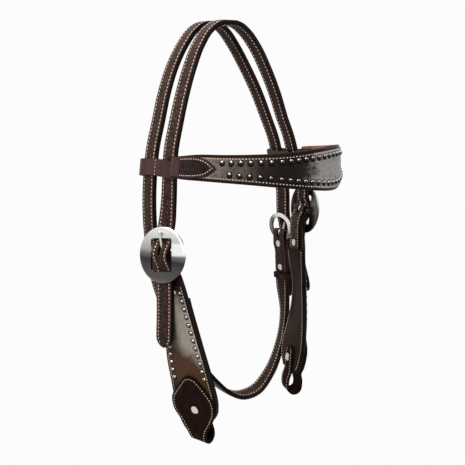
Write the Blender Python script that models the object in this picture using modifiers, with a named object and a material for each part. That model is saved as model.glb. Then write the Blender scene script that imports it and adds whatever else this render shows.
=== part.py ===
"""Western headstall: two stitched straps over the poll, a shaped browband, two wide cheek pieces hung from
round cart buckles, bit loops closed by screws, and a throatlatch that closes with a ring buckle.

Metres, +Z up. The origin is under the crown strap at the poll, -Y points to the forehead and +X to the
horse's left. Lengths below are in millimetres and are turned into metres where a mesh is made.
"""

import math

import bmesh
import bpy
import numpy as np
from mathutils import Matrix, Vector

MM = 0.001
GAP = 0.3

STRAP_WIDTH = 19.0
LAYER = 2.35
LAYER_OFFSET = (LAYER + GAP) / 2
STRAP_THICK = 2 * LAYER + GAP
FINE = 2.5
COARSE = 7.0
TIP = 11.0

DISC_RADIUS = 28.6
DISC_THICK = 3.2
RIM_BEVEL = 1.3
BACK_BEVEL = 0.8
WINDOW_WIDTH = 26.0
WINDOW_HEIGHT = 34.0
BAR_RADIUS = 1.8
BAR_DEPTH = 4.5
BILLET_HUMP = 7.7
BILLET_BACK = -(DISC_THICK / 2 + GAP + STRAP_THICK / 2)

CHEEK_LAYER = 2.2
CHEEK_LENGTH = 211.0
CHEEK_STATIONS = [float(d) for d in range(32, 187, 11)]
HIDE_END = 168.0
CHEEK_ACROSS = 4
TURN_BACK = 46.0
HIDE_THICK = 1.0
HIDE_MARGIN = 2.5
TAB_THICK = 2.4
LOOP_RADIUS = 8.0
BIT_SCREW_DOWN = 172.0
CHAPE_SCREW_DOWN = 39.0
TAIL_LENGTH = 100.0

RING_RADIUS = 14.7
RING_OVAL = 1.14
RING_WIRE = 1.7
RING_BAND = 2.2
RING_BAR_RADIUS = 1.6
RING_BAR_DROP = 7.0

BASE_THICK = 1.8
LINING_THICK = 1.6
LOOP_THICK = 2.0

SCREW_HEAD_RADIUS = 4.6
SCREW_HEAD_THICK = 1.4
FLUSH_HEAD_RADIUS = 3.8
FLUSH_HEAD_THICK = 0.9
POST_RADIUS = 2.5
SHANK_RADIUS = 1.3
DRIVER_SLOT = 0.9

NEAR, FAR = -1, 1


def clear_scene():
    for obj in list(bpy.data.objects):
        bpy.data.objects.remove(obj, do_unlink=True)


def collection(name):
    made = bpy.data.collections.new(name)
    bpy.context.scene.collection.children.link(made)
    return made


def material(name, colour, roughness, metallic=0.0):
    made = bpy.data.materials.new(name)
    made.use_nodes = True
    shader = made.node_tree.nodes["Principled BSDF"]
    shader.inputs["Base Color"].default_value = (*colour, 1.0)
    shader.inputs["Roughness"].default_value = roughness
    shader.inputs["Metallic"].default_value = metallic
    return made


clear_scene()
PARTS = collection("western_headstall")
CUTTERS = collection("cutters")
CUTTERS.hide_render = True

STRAP_BROWN = material("strap_leather", (0.055, 0.030, 0.024), 0.45)
LINING_BROWN = material("lining_leather", (0.075, 0.042, 0.032), 0.6)
HIDE = material("hair_on_hide", (0.16, 0.13, 0.11), 0.4)
TAN = material("tan_lining", (0.45, 0.29, 0.19), 0.7)
ROUGH_OUT = material("dark_tab_leather", (0.035, 0.018, 0.014), 0.75)
STEEL = material("brushed_steel", (0.55, 0.54, 0.52), 0.3, 1.0)
NICKEL = material("nickel", (0.7, 0.68, 0.64), 0.25, 1.0)


class Frame:
    """A place and three unit directions: down the strap, forward across it, and out of its face."""

    def __init__(self, origin, side, toe_in, lean, sweep):
        toe, tilt, swing = (math.radians(v) for v in (toe_in, lean, sweep))
        self.origin = np.array(origin, float)
        flat_out = np.array([side * math.cos(toe), -math.sin(toe), 0.0])
        flat_forward = np.array([-side * math.sin(toe), -math.cos(toe), 0.0])
        up = np.array([0.0, 0.0, 1.0])
        down = -up * math.cos(tilt) - flat_out * math.sin(tilt)
        self.out = flat_out * math.cos(tilt) - up * math.sin(tilt)
        self.down = down * math.cos(swing) + flat_forward * math.sin(swing)
        self.forward = flat_forward * math.cos(swing) - down * math.sin(swing)

    def at(self, down, forward, out):
        return self.origin + self.down * down + self.forward * forward + self.out * out

    def moved(self, down, forward, out):
        copy = object.__new__(Frame)
        copy.origin = self.at(down, forward, out)
        copy.down, copy.forward, copy.out = self.down, self.forward, self.out
        return copy


# The disc buckles hang 90 mm out from the middle; the far one is buckled one hole higher. Each disc lies in
# line with the strap above it, and below its bar the cheek piece turns into the direction that it hangs in.
DISCS = {
    NEAR: Frame((-93.4, -21.2, -227.4), NEAR, 23.0, -11.2, 7.0),
    FAR: Frame((97.2, -19.0, -201.0), FAR, 8.0, 4.0, -2.0),
}
HANGS = {
    NEAR: Frame((-93.4, -21.2, -227.4), NEAR, 24.0, 7.5, -4.0),
    FAR: DISCS[FAR],
}
BARS = {side: disc.moved(0.0, 0.0, -BAR_DEPTH) for side, disc in DISCS.items()}
RING = Frame((87.6, 13.2, -227.5), FAR, -4.0, -3.0, 1.0)
RING_TURN = -4.0
SIDE_NAMES = {NEAR: "near", FAR: "far"}


def smooth(knots):
    """Stations along a curve that passes smoothly through the knots; a knot's last value is their spacing."""
    knots = np.array(knots, float)
    steps = np.linalg.norm(np.diff(knots[:, :3], axis=0), axis=1)
    at = np.concatenate([[0.0], np.cumsum(steps)])
    slopes = np.gradient(knots, at, axis=0)
    rows = []
    for place in np.linspace(0.0, at[-1], 16 * len(knots) + 1):
        i = min(int(np.searchsorted(at, place, side="right")) - 1, len(steps) - 1)
        span = steps[i]
        t = (place - at[i]) / span
        rows.append(
            knots[i] * (2 * t**3 - 3 * t**2 + 1)
            + slopes[i] * span * (t**3 - 2 * t**2 + t)
            + knots[i + 1] * (3 * t**2 - 2 * t**3)
            + slopes[i + 1] * span * (t**3 - t**2)
        )
        rows[-1][-1] = np.interp(place, at, knots[:, -1])
    rows = np.array(rows)
    density = 1.0 / rows[:-1, -1]
    pieces = np.linalg.norm(np.diff(rows[:, :3], axis=0), axis=1) * density
    run = np.concatenate([[0.0], np.cumsum(pieces)])
    even = np.linspace(0.0, run[-1], max(2, round(run[-1])) + 1)
    return np.array([[np.interp(v, run, rows[:, k]) for k in range(rows.shape[1])] for v in even])


def unit(v):
    return v / np.linalg.norm(v)


def directions(points, forwards):
    """The tangent, width and outward directions at each point of a strap's route."""
    tangents = np.gradient(points, axis=0)
    found = []
    for point, tangent, forward in zip(points, tangents, forwards):
        tangent = unit(tangent)
        width = unit(forward - tangent * (forward @ tangent))
        found.append((tangent, width, np.cross(width, tangent)))
    return found


def shaped(name, grid, thickness, look):
    """A sheet of leather: a grid of points through its middle, thickened by a Solidify modifier."""
    mesh = bpy.data.meshes.new(name)
    made = bmesh.new()
    rows = [[made.verts.new(Vector(p) * MM) for p in row] for row in grid]
    for row, after in zip(rows, rows[1:]):
        for k in range(len(row) - 1):
            made.faces.new((row[k], row[k + 1], after[k + 1], after[k]))
    made.to_mesh(mesh)
    made.free()
    obj = bpy.data.objects.new(name, mesh)
    PARTS.objects.link(obj)
    mesh.materials.append(look)
    solid = obj.modifiers.new("leather", "SOLIDIFY")
    solid.thickness = thickness * MM
    solid.offset = 0.0
    solid.use_even_offset = True
    return obj


def ribbon(name, points, forwards, offset, fronts, rears, thickness, look, across=1):
    """A strap along a route: offset is how far its middle lies outside it, fronts and rears its edges."""
    grid = []
    shares = np.linspace(0.0, 1.0, across + 1)
    for point, (_, width, out), front, rear in zip(points, directions(points, forwards), fronts, rears):
        grid.append([point + out * offset + width * (front + (rear - front) * share) for share in shares])
    return shaped(name, grid, thickness, look)


def along(points):
    """Distance run along the route at each point."""
    return np.concatenate([[0.0], np.cumsum(np.linalg.norm(np.diff(points, axis=0), axis=1))])


def rounded_widths(points, half, start_tip, end_tip):
    """Half widths of a strap whose ends are rounded over the given lengths (0 for a square end)."""
    run = along(points)
    widths = []
    for place in run:
        width = half
        for distance, tip in ((place, start_tip), (run[-1] - place, end_tip)):
            if tip and distance < tip:
                width = min(width, half * math.sqrt(max(0.04, 1.0 - (1.0 - distance / tip) ** 2)))
        widths.append(width)
    return np.array(widths)


def turned(turns):
    """Forward directions at turns in degrees: positive turns the front edge towards -X."""
    turns = np.radians(turns)
    return np.stack([-np.sin(turns), -np.cos(turns), 0 * turns], axis=1)


def frame_object(name, frame, mesh, look):
    """An object whose own X, Y and Z run forward, up and out in the frame, with its origin on the frame's."""
    obj = bpy.data.objects.new(name, mesh)
    PARTS.objects.link(obj)
    place_in(obj, frame)
    obj.data.materials.append(look)
    return obj


def place_in(obj, frame):
    axes = (-frame.forward, -frame.down, frame.out)
    side_up = np.cross(axes[1], axes[2])
    axes = (side_up, axes[1], axes[2])
    rows = [[float(axis[k]) for axis in axes] + [float(frame.origin[k]) * MM] for k in range(3)]
    obj.matrix_basis = Matrix((*rows, (0.0, 0.0, 0.0, 1.0)))


def cutter(name, frame, size, round_shape=False):
    """A cutting block, or a cutting cylinder, centred on the frame; size is across, up and through."""
    made = bmesh.new()
    if round_shape:
        radius = size[0] / 2 * MM
        depth = size[2] * MM
        bmesh.ops.create_cone(made, cap_ends=True, segments=16, radius1=radius, radius2=radius, depth=depth)
    else:
        bmesh.ops.create_cube(made, size=1.0)
        bmesh.ops.scale(made, vec=Vector(size) * MM, verts=made.verts)
    mesh = bpy.data.meshes.new(name)
    made.to_mesh(mesh)
    made.free()
    obj = bpy.data.objects.new(name, mesh)
    CUTTERS.objects.link(obj)
    obj.hide_render = True
    obj.display_type = "WIRE"
    place_in(obj, frame)
    return obj


def cut(obj, tool, operation="DIFFERENCE"):
    step = obj.modifiers.new(tool.name, "BOOLEAN")
    step.operation = operation
    step.object = tool


def turned_mesh(name, profile, steps):
    """A mesh turned about Z from a closed profile of (radius, height) in millimetres."""
    made = bmesh.new()
    rings = []
    for k in range(steps):
        angle = 2 * math.pi * k / steps
        rings.append(
            [made.verts.new(Vector((r * math.cos(angle), r * math.sin(angle), h)) * MM) for r, h in profile]
        )
    for ring, after in zip(rings, rings[1:] + rings[:1]):
        for k in range(len(profile)):
            nxt = (k + 1) % len(profile)
            made.faces.new((ring[k], after[k], after[nxt], ring[nxt]))
    bmesh.ops.remove_doubles(made, verts=made.verts, dist=1e-6)
    bmesh.ops.recalc_face_normals(made, faces=made.faces)
    mesh = bpy.data.meshes.new(name)
    made.to_mesh(mesh)
    made.free()
    return mesh


def tube(name, points, radius, look, resolution=2):
    """A wire through the points as a solid mesh."""
    curve = bpy.data.curves.new(name, "CURVE")
    curve.dimensions = "3D"
    curve.bevel_depth = radius * MM
    curve.bevel_resolution = resolution
    curve.use_fill_caps = True
    line = curve.splines.new("POLY")
    line.points.add(len(points) - 1)
    for spot, p in zip(line.points, points):
        spot.co = (*(Vector(p) * MM), 1.0)
    guide = bpy.data.objects.new(name + "_line", curve)
    CUTTERS.objects.link(guide)
    graph = bpy.context.evaluated_depsgraph_get()
    mesh = bpy.data.meshes.new_from_object(guide.evaluated_get(graph))
    bpy.data.objects.remove(guide, do_unlink=True)
    made = bmesh.new()
    made.from_mesh(mesh)
    bmesh.ops.remove_doubles(made, verts=made.verts, dist=1e-6)
    bmesh.ops.recalc_face_normals(made, faces=made.faces)
    made.to_mesh(mesh)
    made.free()
    mesh.name = name
    mesh.materials.clear()
    mesh.materials.append(look)
    obj = bpy.data.objects.new(name, mesh)
    PARTS.objects.link(obj)
    return obj


def billet_out(up):
    """How far the billet's middle lies outside the disc's middle, at a height above the bar."""
    reach = WINDOW_HEIGHT / 2 - 1.0
    if abs(up) >= reach:
        return BILLET_BACK
    return BILLET_BACK + BILLET_HUMP * 0.5 * (1.0 + math.cos(math.pi * up / reach))


def billet_knots(side):
    """The crown strap's route at one disc buckle, from the tip of its tail up to above the disc."""
    disc, turn = DISCS[side], TURNS[side]
    knots = []
    for down, forward, lift, spacing in TAIL:
        frame = cheek_frame(side, down)
        spot = frame.at(0.0, forward - cheek_shift(side, down), BAR_DEPTH + BILLET_BACK + lift)
        facing = math.degrees(math.atan2(-frame.forward[0], -frame.forward[1]))
        knots.append((*spot, facing, spacing))
    places = [(22.0, 0.0, BILLET_BACK, COARSE)]
    places += [(-up, 0.0, billet_out(up), FINE) for up in range(-18, 19, 3)]
    places += [(-24.0, 0.0, BILLET_BACK - 1.2, COARSE), (-30.0, 0.0, BILLET_BACK - 3.2, COARSE)]
    return knots + [(*disc.at(down, shift, out), turn, spacing) for down, shift, out, spacing in places]


TURNS = {NEAR: -23.0, FAR: 8.0}
# The loose tail on the cheek's face, going up: distance down, forward, lift off the face, spacing.
TAIL = [(TAIL_LENGTH, 0.6, 6.6, FINE), (86.0, 0.5, 5.2, FINE), (66.0, 0.3, 2.7, COARSE)]
TAIL += [(46.0, 0.1, 0.9, COARSE), (32.0, 0.0, 0.1, COARSE)]

CROWN_NEAR = [(-79.5, -12.3, -178.0, -14.0), (-79.6, -15.8, -150.0, -9.0), (-77.5, -15.5, -125.0, -7.5)]
CROWN_FAR = [(85.3, -18.0, -155.0, 7.5), (79.8, -16.3, -137.0, 7.0), (73.8, -14.2, -115.0, 7.0)]
# The crown strap's far half stands a little closer in than the near one.
FAR_SPREAD = 0.965
CROWN_TOP = [(69.5, -12.5, -98.0, 6.5), (60.0, -9.5, -70.0, 5.0), (48.5, -6.0, -43.0, 3.5)]
CROWN_TOP += [(36.5, -3.0, -21.0, 2.0), (23.5, -0.8, -5.5, 0.5), (14.0, -0.2, 0.5, 0.0), (7.5, 0.0, 2.5, 0.0)]

THROAT_TOP = [(70.5, 22.0, -98.0, 4.0), (59.5, 27.0, -68.0, 3.0), (46.0, 31.5, -40.0, 2.0)]
THROAT_TOP += [(32.0, 33.0, -18.0, 1.0), (20.5, 33.0, -4.5, 0.5), (11.0, 32.0, 1.8, 0.0)]
THROAT_TOP += [(0.0, 31.5, 3.2, 0.0)]
THROAT_NEAR = [(-79.0, 19.5, -125.0, -5.0), (-84.5, 16.0, -150.0, -6.0), (-87.5, 14.5, -190.0, -8.0)]
THROAT_NEAR += [(-84.0, 16.0, -232.0, -9.0), (-75.5, 17.0, -278.0, -9.0), (-55.0, 15.5, -326.0, -9.0)]
THROAT_NEAR += [(-35.5, 12.5, -366.0, -8.0), (-14.0, 8.5, -396.5, -6.0), (3.0, 6.5, -414.0, -4.0)]
THROAT_LOOP = [(24.0, 6.0, -425.5, 0.0), (47.0, 6.0, -424.5, 6.0), (68.0, 6.0, -406.0, 14.0)]
THROAT_LOOP += [(82.0, 6.0, -378.0, 19.0), (90.5, 6.5, -332.0, 16.0)]
THROAT_FAR = [(80.0, 18.5, -125.0, 5.0), (85.0, 16.5, -150.0, 5.0)]


def mirrored(knots):
    return [(-x, y, z, -turn) for x, y, z, turn in knots]


def coarse(knots):
    return [(*knot, COARSE) for knot in knots]


def crown_rows():
    """Stations of the crown strap from tail to tail, with one flat, level stretch over the poll."""
    near = billet_knots(NEAR) + coarse(CROWN_NEAR + mirrored(CROWN_TOP))
    far_top = [(x * (FAR_SPREAD if x > 14.0 else 1.0), y, z, turn) for x, y, z, turn in CROWN_TOP]
    far = billet_knots(FAR) + coarse(CROWN_FAR + far_top)
    return np.concatenate([smooth(near), smooth(far)[::-1]])


def two_layers(name, rows, start_tip, end_tip):
    """A doubled strap: outer leather and lining stitched back to back."""
    points, forwards = rows[:, :3], turned(rows[:, 3])
    widths = rounded_widths(points, STRAP_WIDTH / 2, start_tip, end_tip)
    outer = ribbon(name + "_outer", points, forwards, LAYER_OFFSET, widths, -widths, LAYER, STRAP_BROWN)
    lining = ribbon(name + "_lining", points, forwards, -LAYER_OFFSET, widths, -widths, LAYER, LINING_BROWN)
    return outer, lining


def make_crown_strap(rows):
    layers = two_layers("crown_strap", rows, TIP, TIP)
    for side, disc in DISCS.items():
        slot = cutter(f"{SIDE_NAMES[side]}_billet_slot", disc.moved(-6.2, 0.0, 0.0), (3.6, 13.0, 24.0))
        for layer in layers:
            cut(layer, slot)


def make_disc_buckle(side):
    """A round cart buckle: a bevelled plate with a window, and a bar set behind it on two lugs."""
    name, disc = SIDE_NAMES[side], DISCS[side]
    half = DISC_THICK / 2
    profile = [(0.0, -half), (DISC_RADIUS - BACK_BEVEL, -half), (DISC_RADIUS, BACK_BEVEL - half)]
    profile += [(DISC_RADIUS, half - RIM_BEVEL), (DISC_RADIUS - RIM_BEVEL, half), (0.0, half)]
    mesh = turned_mesh(f"{name}_disc_buckle", profile, 48)
    plate = frame_object(f"{name}_disc_buckle", disc, mesh, STEEL)
    cut(plate, cutter(f"{name}_window", disc, (WINDOW_WIDTH, WINDOW_HEIGHT, 12.0)))
    bar_frame = BARS[side]
    reach = WINDOW_WIDTH / 2 + 2.1
    bar = tube(
        f"{name}_bar",
        [bar_frame.at(0.0, -reach, 0.0), bar_frame.at(0.0, reach, 0.0)],
        BAR_RADIUS,
        STEEL,
    )
    CUTTERS.objects.link(bar)
    PARTS.objects.unlink(bar)
    bar.hide_render = True
    bar.display_type = "WIRE"
    cut(plate, bar, "UNION")
    for end in (-1, 1):
        lug = cutter(
            f"{name}_lug_{'front' if end > 0 else 'rear'}",
            disc.moved(0.0, end * (WINDOW_WIDTH / 2 + 1.6), -BAR_DEPTH / 2 - 0.4),
            (2.0, 5.0, BAR_DEPTH - 0.2),
        )
        cut(plate, lug, "UNION")
    return plate


# Each tongue's wire radius, how high its tip reaches above its bar, and how it rests on its buckle.
PRONG_WIRE = 1.1
DISC_PRONG_UP = 22.5
PRONG_REST = 1.25
RING_PRONG_UP = 20.5
RING_PRONG_OUT = 10.2


def make_prong(name, frame, bar_radius, wire, tip_up, tip_out):
    """A buckle tongue: an eye round the bar, and a wire that runs up and outward to its rounded tip."""
    mean = bar_radius + GAP + wire
    turn = [math.radians(a) for a in range(20, 271, 25)]
    eye = [frame.at(-mean * math.cos(a), 0.0, -mean * math.sin(a)) for a in turn]
    start, tip = frame.at(0.0, 0.0, mean), frame.at(-tip_up, 0.0, tip_out)
    shaft = [start + (tip - start) * k / 4 for k in range(1, 5)]
    return tube(name, eye + [start] + shaft, wire, NICKEL)


# How the cheek pieces hang from their bars: forward slope and extra toe-in in degrees (most of the twist,
# and what of it turns back at the bit end), and how far they bow outward half way down and back in below.
CHEEK_SLOPE = {NEAR: 10.8, FAR: 10.0}
SLOPE_START = {NEAR: 5.0, FAR: 10.0}
CHEEK_TWIST = {NEAR: (0.0, 0.0), FAR: (17.0, 8.0)}
CHEEK_BOW = {NEAR: (0.0, 0.0), FAR: (6.0, 11.0)}
BEND_START, BEND_END, BEND_STEPS = 13.0, 37.0, 12


def ease(value, start, end):
    """0 before the start, 1 after the end, smooth between."""
    t = min(1.0, max(0.0, (value - start) / (end - start)))
    return t * t * (3.0 - 2.0 * t)


def cheek_bow(side, down):
    bow, back = CHEEK_BOW[side]
    return bow * ease(down, 46.0, 96.0) - back * ease(down, 104.0, 188.0)


def cheek_shift(side, down):
    return math.tan(math.radians(CHEEK_SLOPE[side])) * max(0.0, down - SLOPE_START[side])


def bent_frame(side, down):
    """A frame on the cheek's own line, which turns from the bar's direction into the one it hangs in."""
    bar, hang = BARS[side], HANGS[side]
    frame = bar.moved(min(down, BEND_START), 0.0, 0.0)
    reach = min(down, BEND_END) - BEND_START
    for k in range(BEND_STEPS if reach > 0.0 else 0):
        share = ease(BEND_START + reach * (k + 0.5) / BEND_STEPS, BEND_START, BEND_END)
        frame.down = unit(bar.down * (1.0 - share) + hang.down * share)
        frame.origin = frame.origin + frame.down * (reach / BEND_STEPS)
    share = ease(down, BEND_START, BEND_END)
    frame.down = unit(bar.down * (1.0 - share) + hang.down * share)
    forward = bar.forward * (1.0 - share) + hang.forward * share
    frame.forward = unit(forward - frame.down * (frame.down @ forward))
    frame.out = np.cross(frame.forward, frame.down) * side
    return frame.moved(max(0.0, down - BEND_END), 0.0, 0.0)


def cheek_frame(side, down):
    """The cheek's frame at a distance below the bar."""
    bent = bent_frame(side, down)
    twist, back = CHEEK_TWIST[side]
    turn = math.radians(twist * ease(down, 46.0, 98.0) - back * ease(down, 112.0, 166.0))
    frame = bent.moved(0.0, cheek_shift(side, down), cheek_bow(side, down))
    frame.forward = bent.forward * math.cos(turn) - bent.out * math.sin(turn)
    frame.out = bent.out * math.cos(turn) + bent.forward * math.sin(turn)
    return frame


def screw_frame(side, down, out):
    """A frame for a screw that stands square on the cheek, which may slope where it bows."""
    frame = cheek_frame(side, down).moved(0.0, 0.0, out)
    slope = unit(cheek_frame(side, down + 2.0).origin - cheek_frame(side, down - 2.0).origin)
    frame.forward = unit(frame.forward - slope * (slope @ frame.forward))
    frame.down = slope
    frame.out = np.cross(frame.forward, slope) * side
    return frame


def cheek_rows(side, profile):
    """Route points and forward directions of a cheek layer from (down, out) pairs."""
    frames = [cheek_frame(side, down) for down, _ in profile]
    points = np.array([frame.at(0.0, 0.0, out) for frame, (_, out) in zip(frames, profile)])
    return points, np.array([frame.forward for frame in frames])


BASE_OUT = -5.2
LINING_OUT = BASE_OUT - CHEEK_LAYER - GAP
HIDE_OUT = BASE_OUT + CHEEK_LAYER / 2 + GAP + HIDE_THICK / 2
TAB_OUT = HIDE_OUT + HIDE_THICK / 2 + GAP + TAB_THICK / 2
LIMB_OUT = LINING_OUT - CHEEK_LAYER / 2 - GAP - TAB_THICK / 2

# Distances from the cheek piece's middle line to its front and rear edges, going down from the bar.
CHEEK_FRONT = [(0.0, 9.5), (16.0, 10.0), (22.0, 13.0), (32.0, 15.5), (60.0, 18.0), (100.0, 22.0)]
CHEEK_FRONT += [(140.0, 26.0), (170.0, 26.0), (178.0, 23.5), (186.0, 17.5)]
CHEEK_REAR = [(0.0, 9.5), (16.0, 10.0), (22.0, 11.0), (36.0, 13.5), (60.0, 16.5), (84.0, 20.5)]
CHEEK_REAR += [(104.0, 25.5), (120.0, 27.5), (140.0, 28.0), (170.0, 27.0), (178.0, 24.0), (186.0, 18.5)]
TAB_FRONT = [(134.0, 5.0), (140.0, 12.2), (148.0, 18.5), (158.0, 24.5), (168.0, 26.0), (178.0, 23.5)]
TAB_FRONT += [(188.0, 17.5), (198.0, 11.5), (206.0, 9.5)]
TAB_REAR = [(134.0, 5.0), (140.0, 12.2), (148.0, 19.5), (158.0, 27.5), (168.0, 29.5), (178.0, 27.5)]
TAB_REAR += [(188.0, 21.0), (198.0, 13.5), (206.0, 11.0)]


def half_width(outline, down):
    return float(np.interp(down, [d for d, _ in outline], [w for _, w in outline]))


def cheek_edges(downs, margin):
    fronts = np.array([half_width(CHEEK_FRONT, d) - margin for d in downs])
    rears = np.array([half_width(CHEEK_REAR, d) - margin for d in downs])
    return fronts, -rears


def make_cheek(side):
    name = SIDE_NAMES[side]
    mean = BAR_RADIUS + GAP + CHEEK_LAYER / 2
    back = [(TURN_BACK, LINING_OUT), (34.0, LINING_OUT), (20.0, LINING_OUT), (14.0, -7.2), (8.0, -5.6)]
    turns = [math.radians(a) for a in range(-20, 201, 20)]
    fold = [(-mean * math.sin(a), -mean * math.cos(a)) for a in turns]
    front = [(4.5, 1.0), (8.0, -1.5), (12.0, -4.0), (16.0, -5.0), (20.5, BASE_OUT), (26.0, BASE_OUT)]
    front += [(d, BASE_OUT) for d in CHEEK_STATIONS]
    profile = back + fold + front
    points, forwards = cheek_rows(side, profile)
    downs = [d if k >= len(back) + len(fold) else 0.0 for k, (d, _) in enumerate(profile)]
    edges = cheek_edges(downs, 0.0)
    base = ribbon(f"{name}_cheek_base", points, forwards, 0.0, *edges, CHEEK_LAYER, STRAP_BROWN, CHEEK_ACROSS)
    cut(base, cutter(f"{name}_chape_slot", BARS[side].moved(-0.5, 0.0, 0.0), (3.4, 12.0, 20.0)))

    hide_downs = [d for d in CHEEK_STATIONS if d < HIDE_END]
    points, forwards = cheek_rows(side, [(d, HIDE_OUT) for d in hide_downs])
    edges = cheek_edges(hide_downs, HIDE_MARGIN)
    hide = ribbon(f"{name}_cheek_hide", points, forwards, 0.0, *edges, HIDE_THICK, HIDE, CHEEK_ACROSS)

    lining_downs = [TURN_BACK + 2 * GAP] + [d for d in CHEEK_STATIONS if d > TURN_BACK + 5.0]
    points, forwards = cheek_rows(side, [(d, LINING_OUT) for d in lining_downs])
    edges = cheek_edges(lining_downs, 0.0)
    ribbon(f"{name}_cheek_lining", points, forwards, 0.0, *edges, CHEEK_LAYER, LINING_BROWN, CHEEK_ACROSS)

    middle = (TAB_OUT + LIMB_OUT) / 2
    radius = LOOP_RADIUS
    bend = CHEEK_LENGTH - radius
    turns = [math.radians(a) for a in range(0, 181, 22)]
    outer = [(float(d), TAB_OUT) for d in (134, 140, 148, 158, 168, 178, 186)]
    outer += [(195.0, middle + radius * 0.93)]
    turn = [(bend + radius * math.sin(a), middle + radius * math.cos(a)) for a in turns]
    inner = [(195.0, middle - radius * 0.93), (186.0, LIMB_OUT), (178.0, LIMB_OUT), (168.0, LIMB_OUT)]
    inner += [(161.0, LIMB_OUT), (158.0, LIMB_OUT)]
    profile = outer + turn + inner
    points, forwards = cheek_rows(side, profile)
    limb = [9.5] * (len(turn) + len(inner) - 2) + [8.0, 4.0]
    fronts = np.array([half_width(TAB_FRONT, d) for d, _ in outer] + limb)
    rears = np.array([half_width(TAB_REAR, d) for d, _ in outer] + limb)
    edges = (fronts, -rears)
    tab = ribbon(f"{name}_bit_loop", points, forwards, 0.0, *edges, TAB_THICK, ROUGH_OUT, CHEEK_ACROSS)

    bit_hole = screw_frame(side, BIT_SCREW_DOWN, middle)
    drill = cutter(f"{name}_bit_screw_hole", bit_hole, (2 * (POST_RADIUS + GAP), 0, 24.0), True)
    for layer in (base, PARTS.objects[f"{name}_cheek_lining"], tab):
        cut(layer, drill)
    make_screw(f"{name}_bit", bit_hole, TAB_OUT + TAB_THICK / 2 - middle, LIMB_OUT - TAB_THICK / 2 - middle)

    chape_middle = (BASE_OUT + LINING_OUT) / 2
    chape_hole = screw_frame(side, CHAPE_SCREW_DOWN, chape_middle)
    drill = cutter(f"{name}_chape_screw_hole", chape_hole, (2 * (POST_RADIUS + GAP), 0, 16.0), True)
    cut(base, drill)
    head_hole = chape_hole.moved(0.0, 0.0, 6.0)
    head_size = 2 * (FLUSH_HEAD_RADIUS + 0.5)
    cut(hide, cutter(f"{name}_chape_head_hole", head_hole, (head_size, 0, 8.0), True))
    reach = CHEEK_LAYER + GAP / 2
    make_screw(f"{name}_chape", chape_hole, reach, -reach, flush=True)


def make_screw(name, frame, outer, inner, flush=False):
    """A two-part leather screw: a hollow post with a plain outer head, and the slotted screw inside."""
    head, thick = (FLUSH_HEAD_RADIUS, FLUSH_HEAD_THICK) if flush else (SCREW_HEAD_RADIUS, SCREW_HEAD_THICK)
    bore = SHANK_RADIUS + GAP
    floor, top = inner - GAP, outer + GAP
    crown_edge = 0.75 * head
    post = [(0.0, top - 1.0), (bore, top - 1.0), (bore, floor + 0.6), (POST_RADIUS, floor + 0.6)]
    post += [(POST_RADIUS, top), (head, top), (head, top + 0.4 * thick), (crown_edge, top + thick)]
    post += [(0.0, top + thick)]
    frame_object(f"{name}_post", frame, turned_mesh(f"{name}_post", post, 16), NICKEL)
    screw = [(0.0, top - 1.6), (SHANK_RADIUS, top - 1.6), (SHANK_RADIUS, floor), (head, floor)]
    screw += [(head, floor - 0.4 * thick), (crown_edge, floor - thick), (0.0, floor - thick)]
    made = frame_object(f"{name}_screw", frame, turned_mesh(f"{name}_screw", screw, 16), NICKEL)
    slot_frame = frame.moved(0.0, 0.0, floor - thick)
    cut(made, cutter(f"{name}_driver_slot", slot_frame, (DRIVER_SLOT, 2.2 * head, DRIVER_SLOT)))


THROAT_BACK_END = 56.0
THROAT_SCREWS = (20.0, 50.0)
# The throat strap's end over the ring buckle: distance below the ring's middle, and out of it.
BILLET_OVER_RING = [(-40.0, 5.6), (-28.0, 5.3), (-20.0, 5.1), (-12.0, 5.4), (-5.0, 7.0), (3.0, 8.4)]
BILLET_OVER_RING += [(11.0, 8.9), (20.0, 8.8), (28.0, 7.9), (38.0, 7.0), (52.0, 6.8), (66.0, 6.6)]
BILLET_OVER_RING += [(78.0, 6.6), (90.0, 6.6)]


def throat_route():
    """From below the fold at the ring buckle, round under the throat and over the poll, to the far billet."""
    start = [(*RING.at(down, 0.0, 0.0), RING_TURN) for down in (THROAT_BACK_END + 2.0, 70.0)]
    up_and_over = mirrored(THROAT_TOP[:-1]) + THROAT_TOP[::-1] + THROAT_FAR
    billet = [(*RING.at(down, 0.0, out), RING_TURN, 4.0) for down, out in BILLET_OVER_RING]
    return coarse(start + THROAT_LOOP[::-1] + THROAT_NEAR[::-1] + up_and_over) + billet


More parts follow.
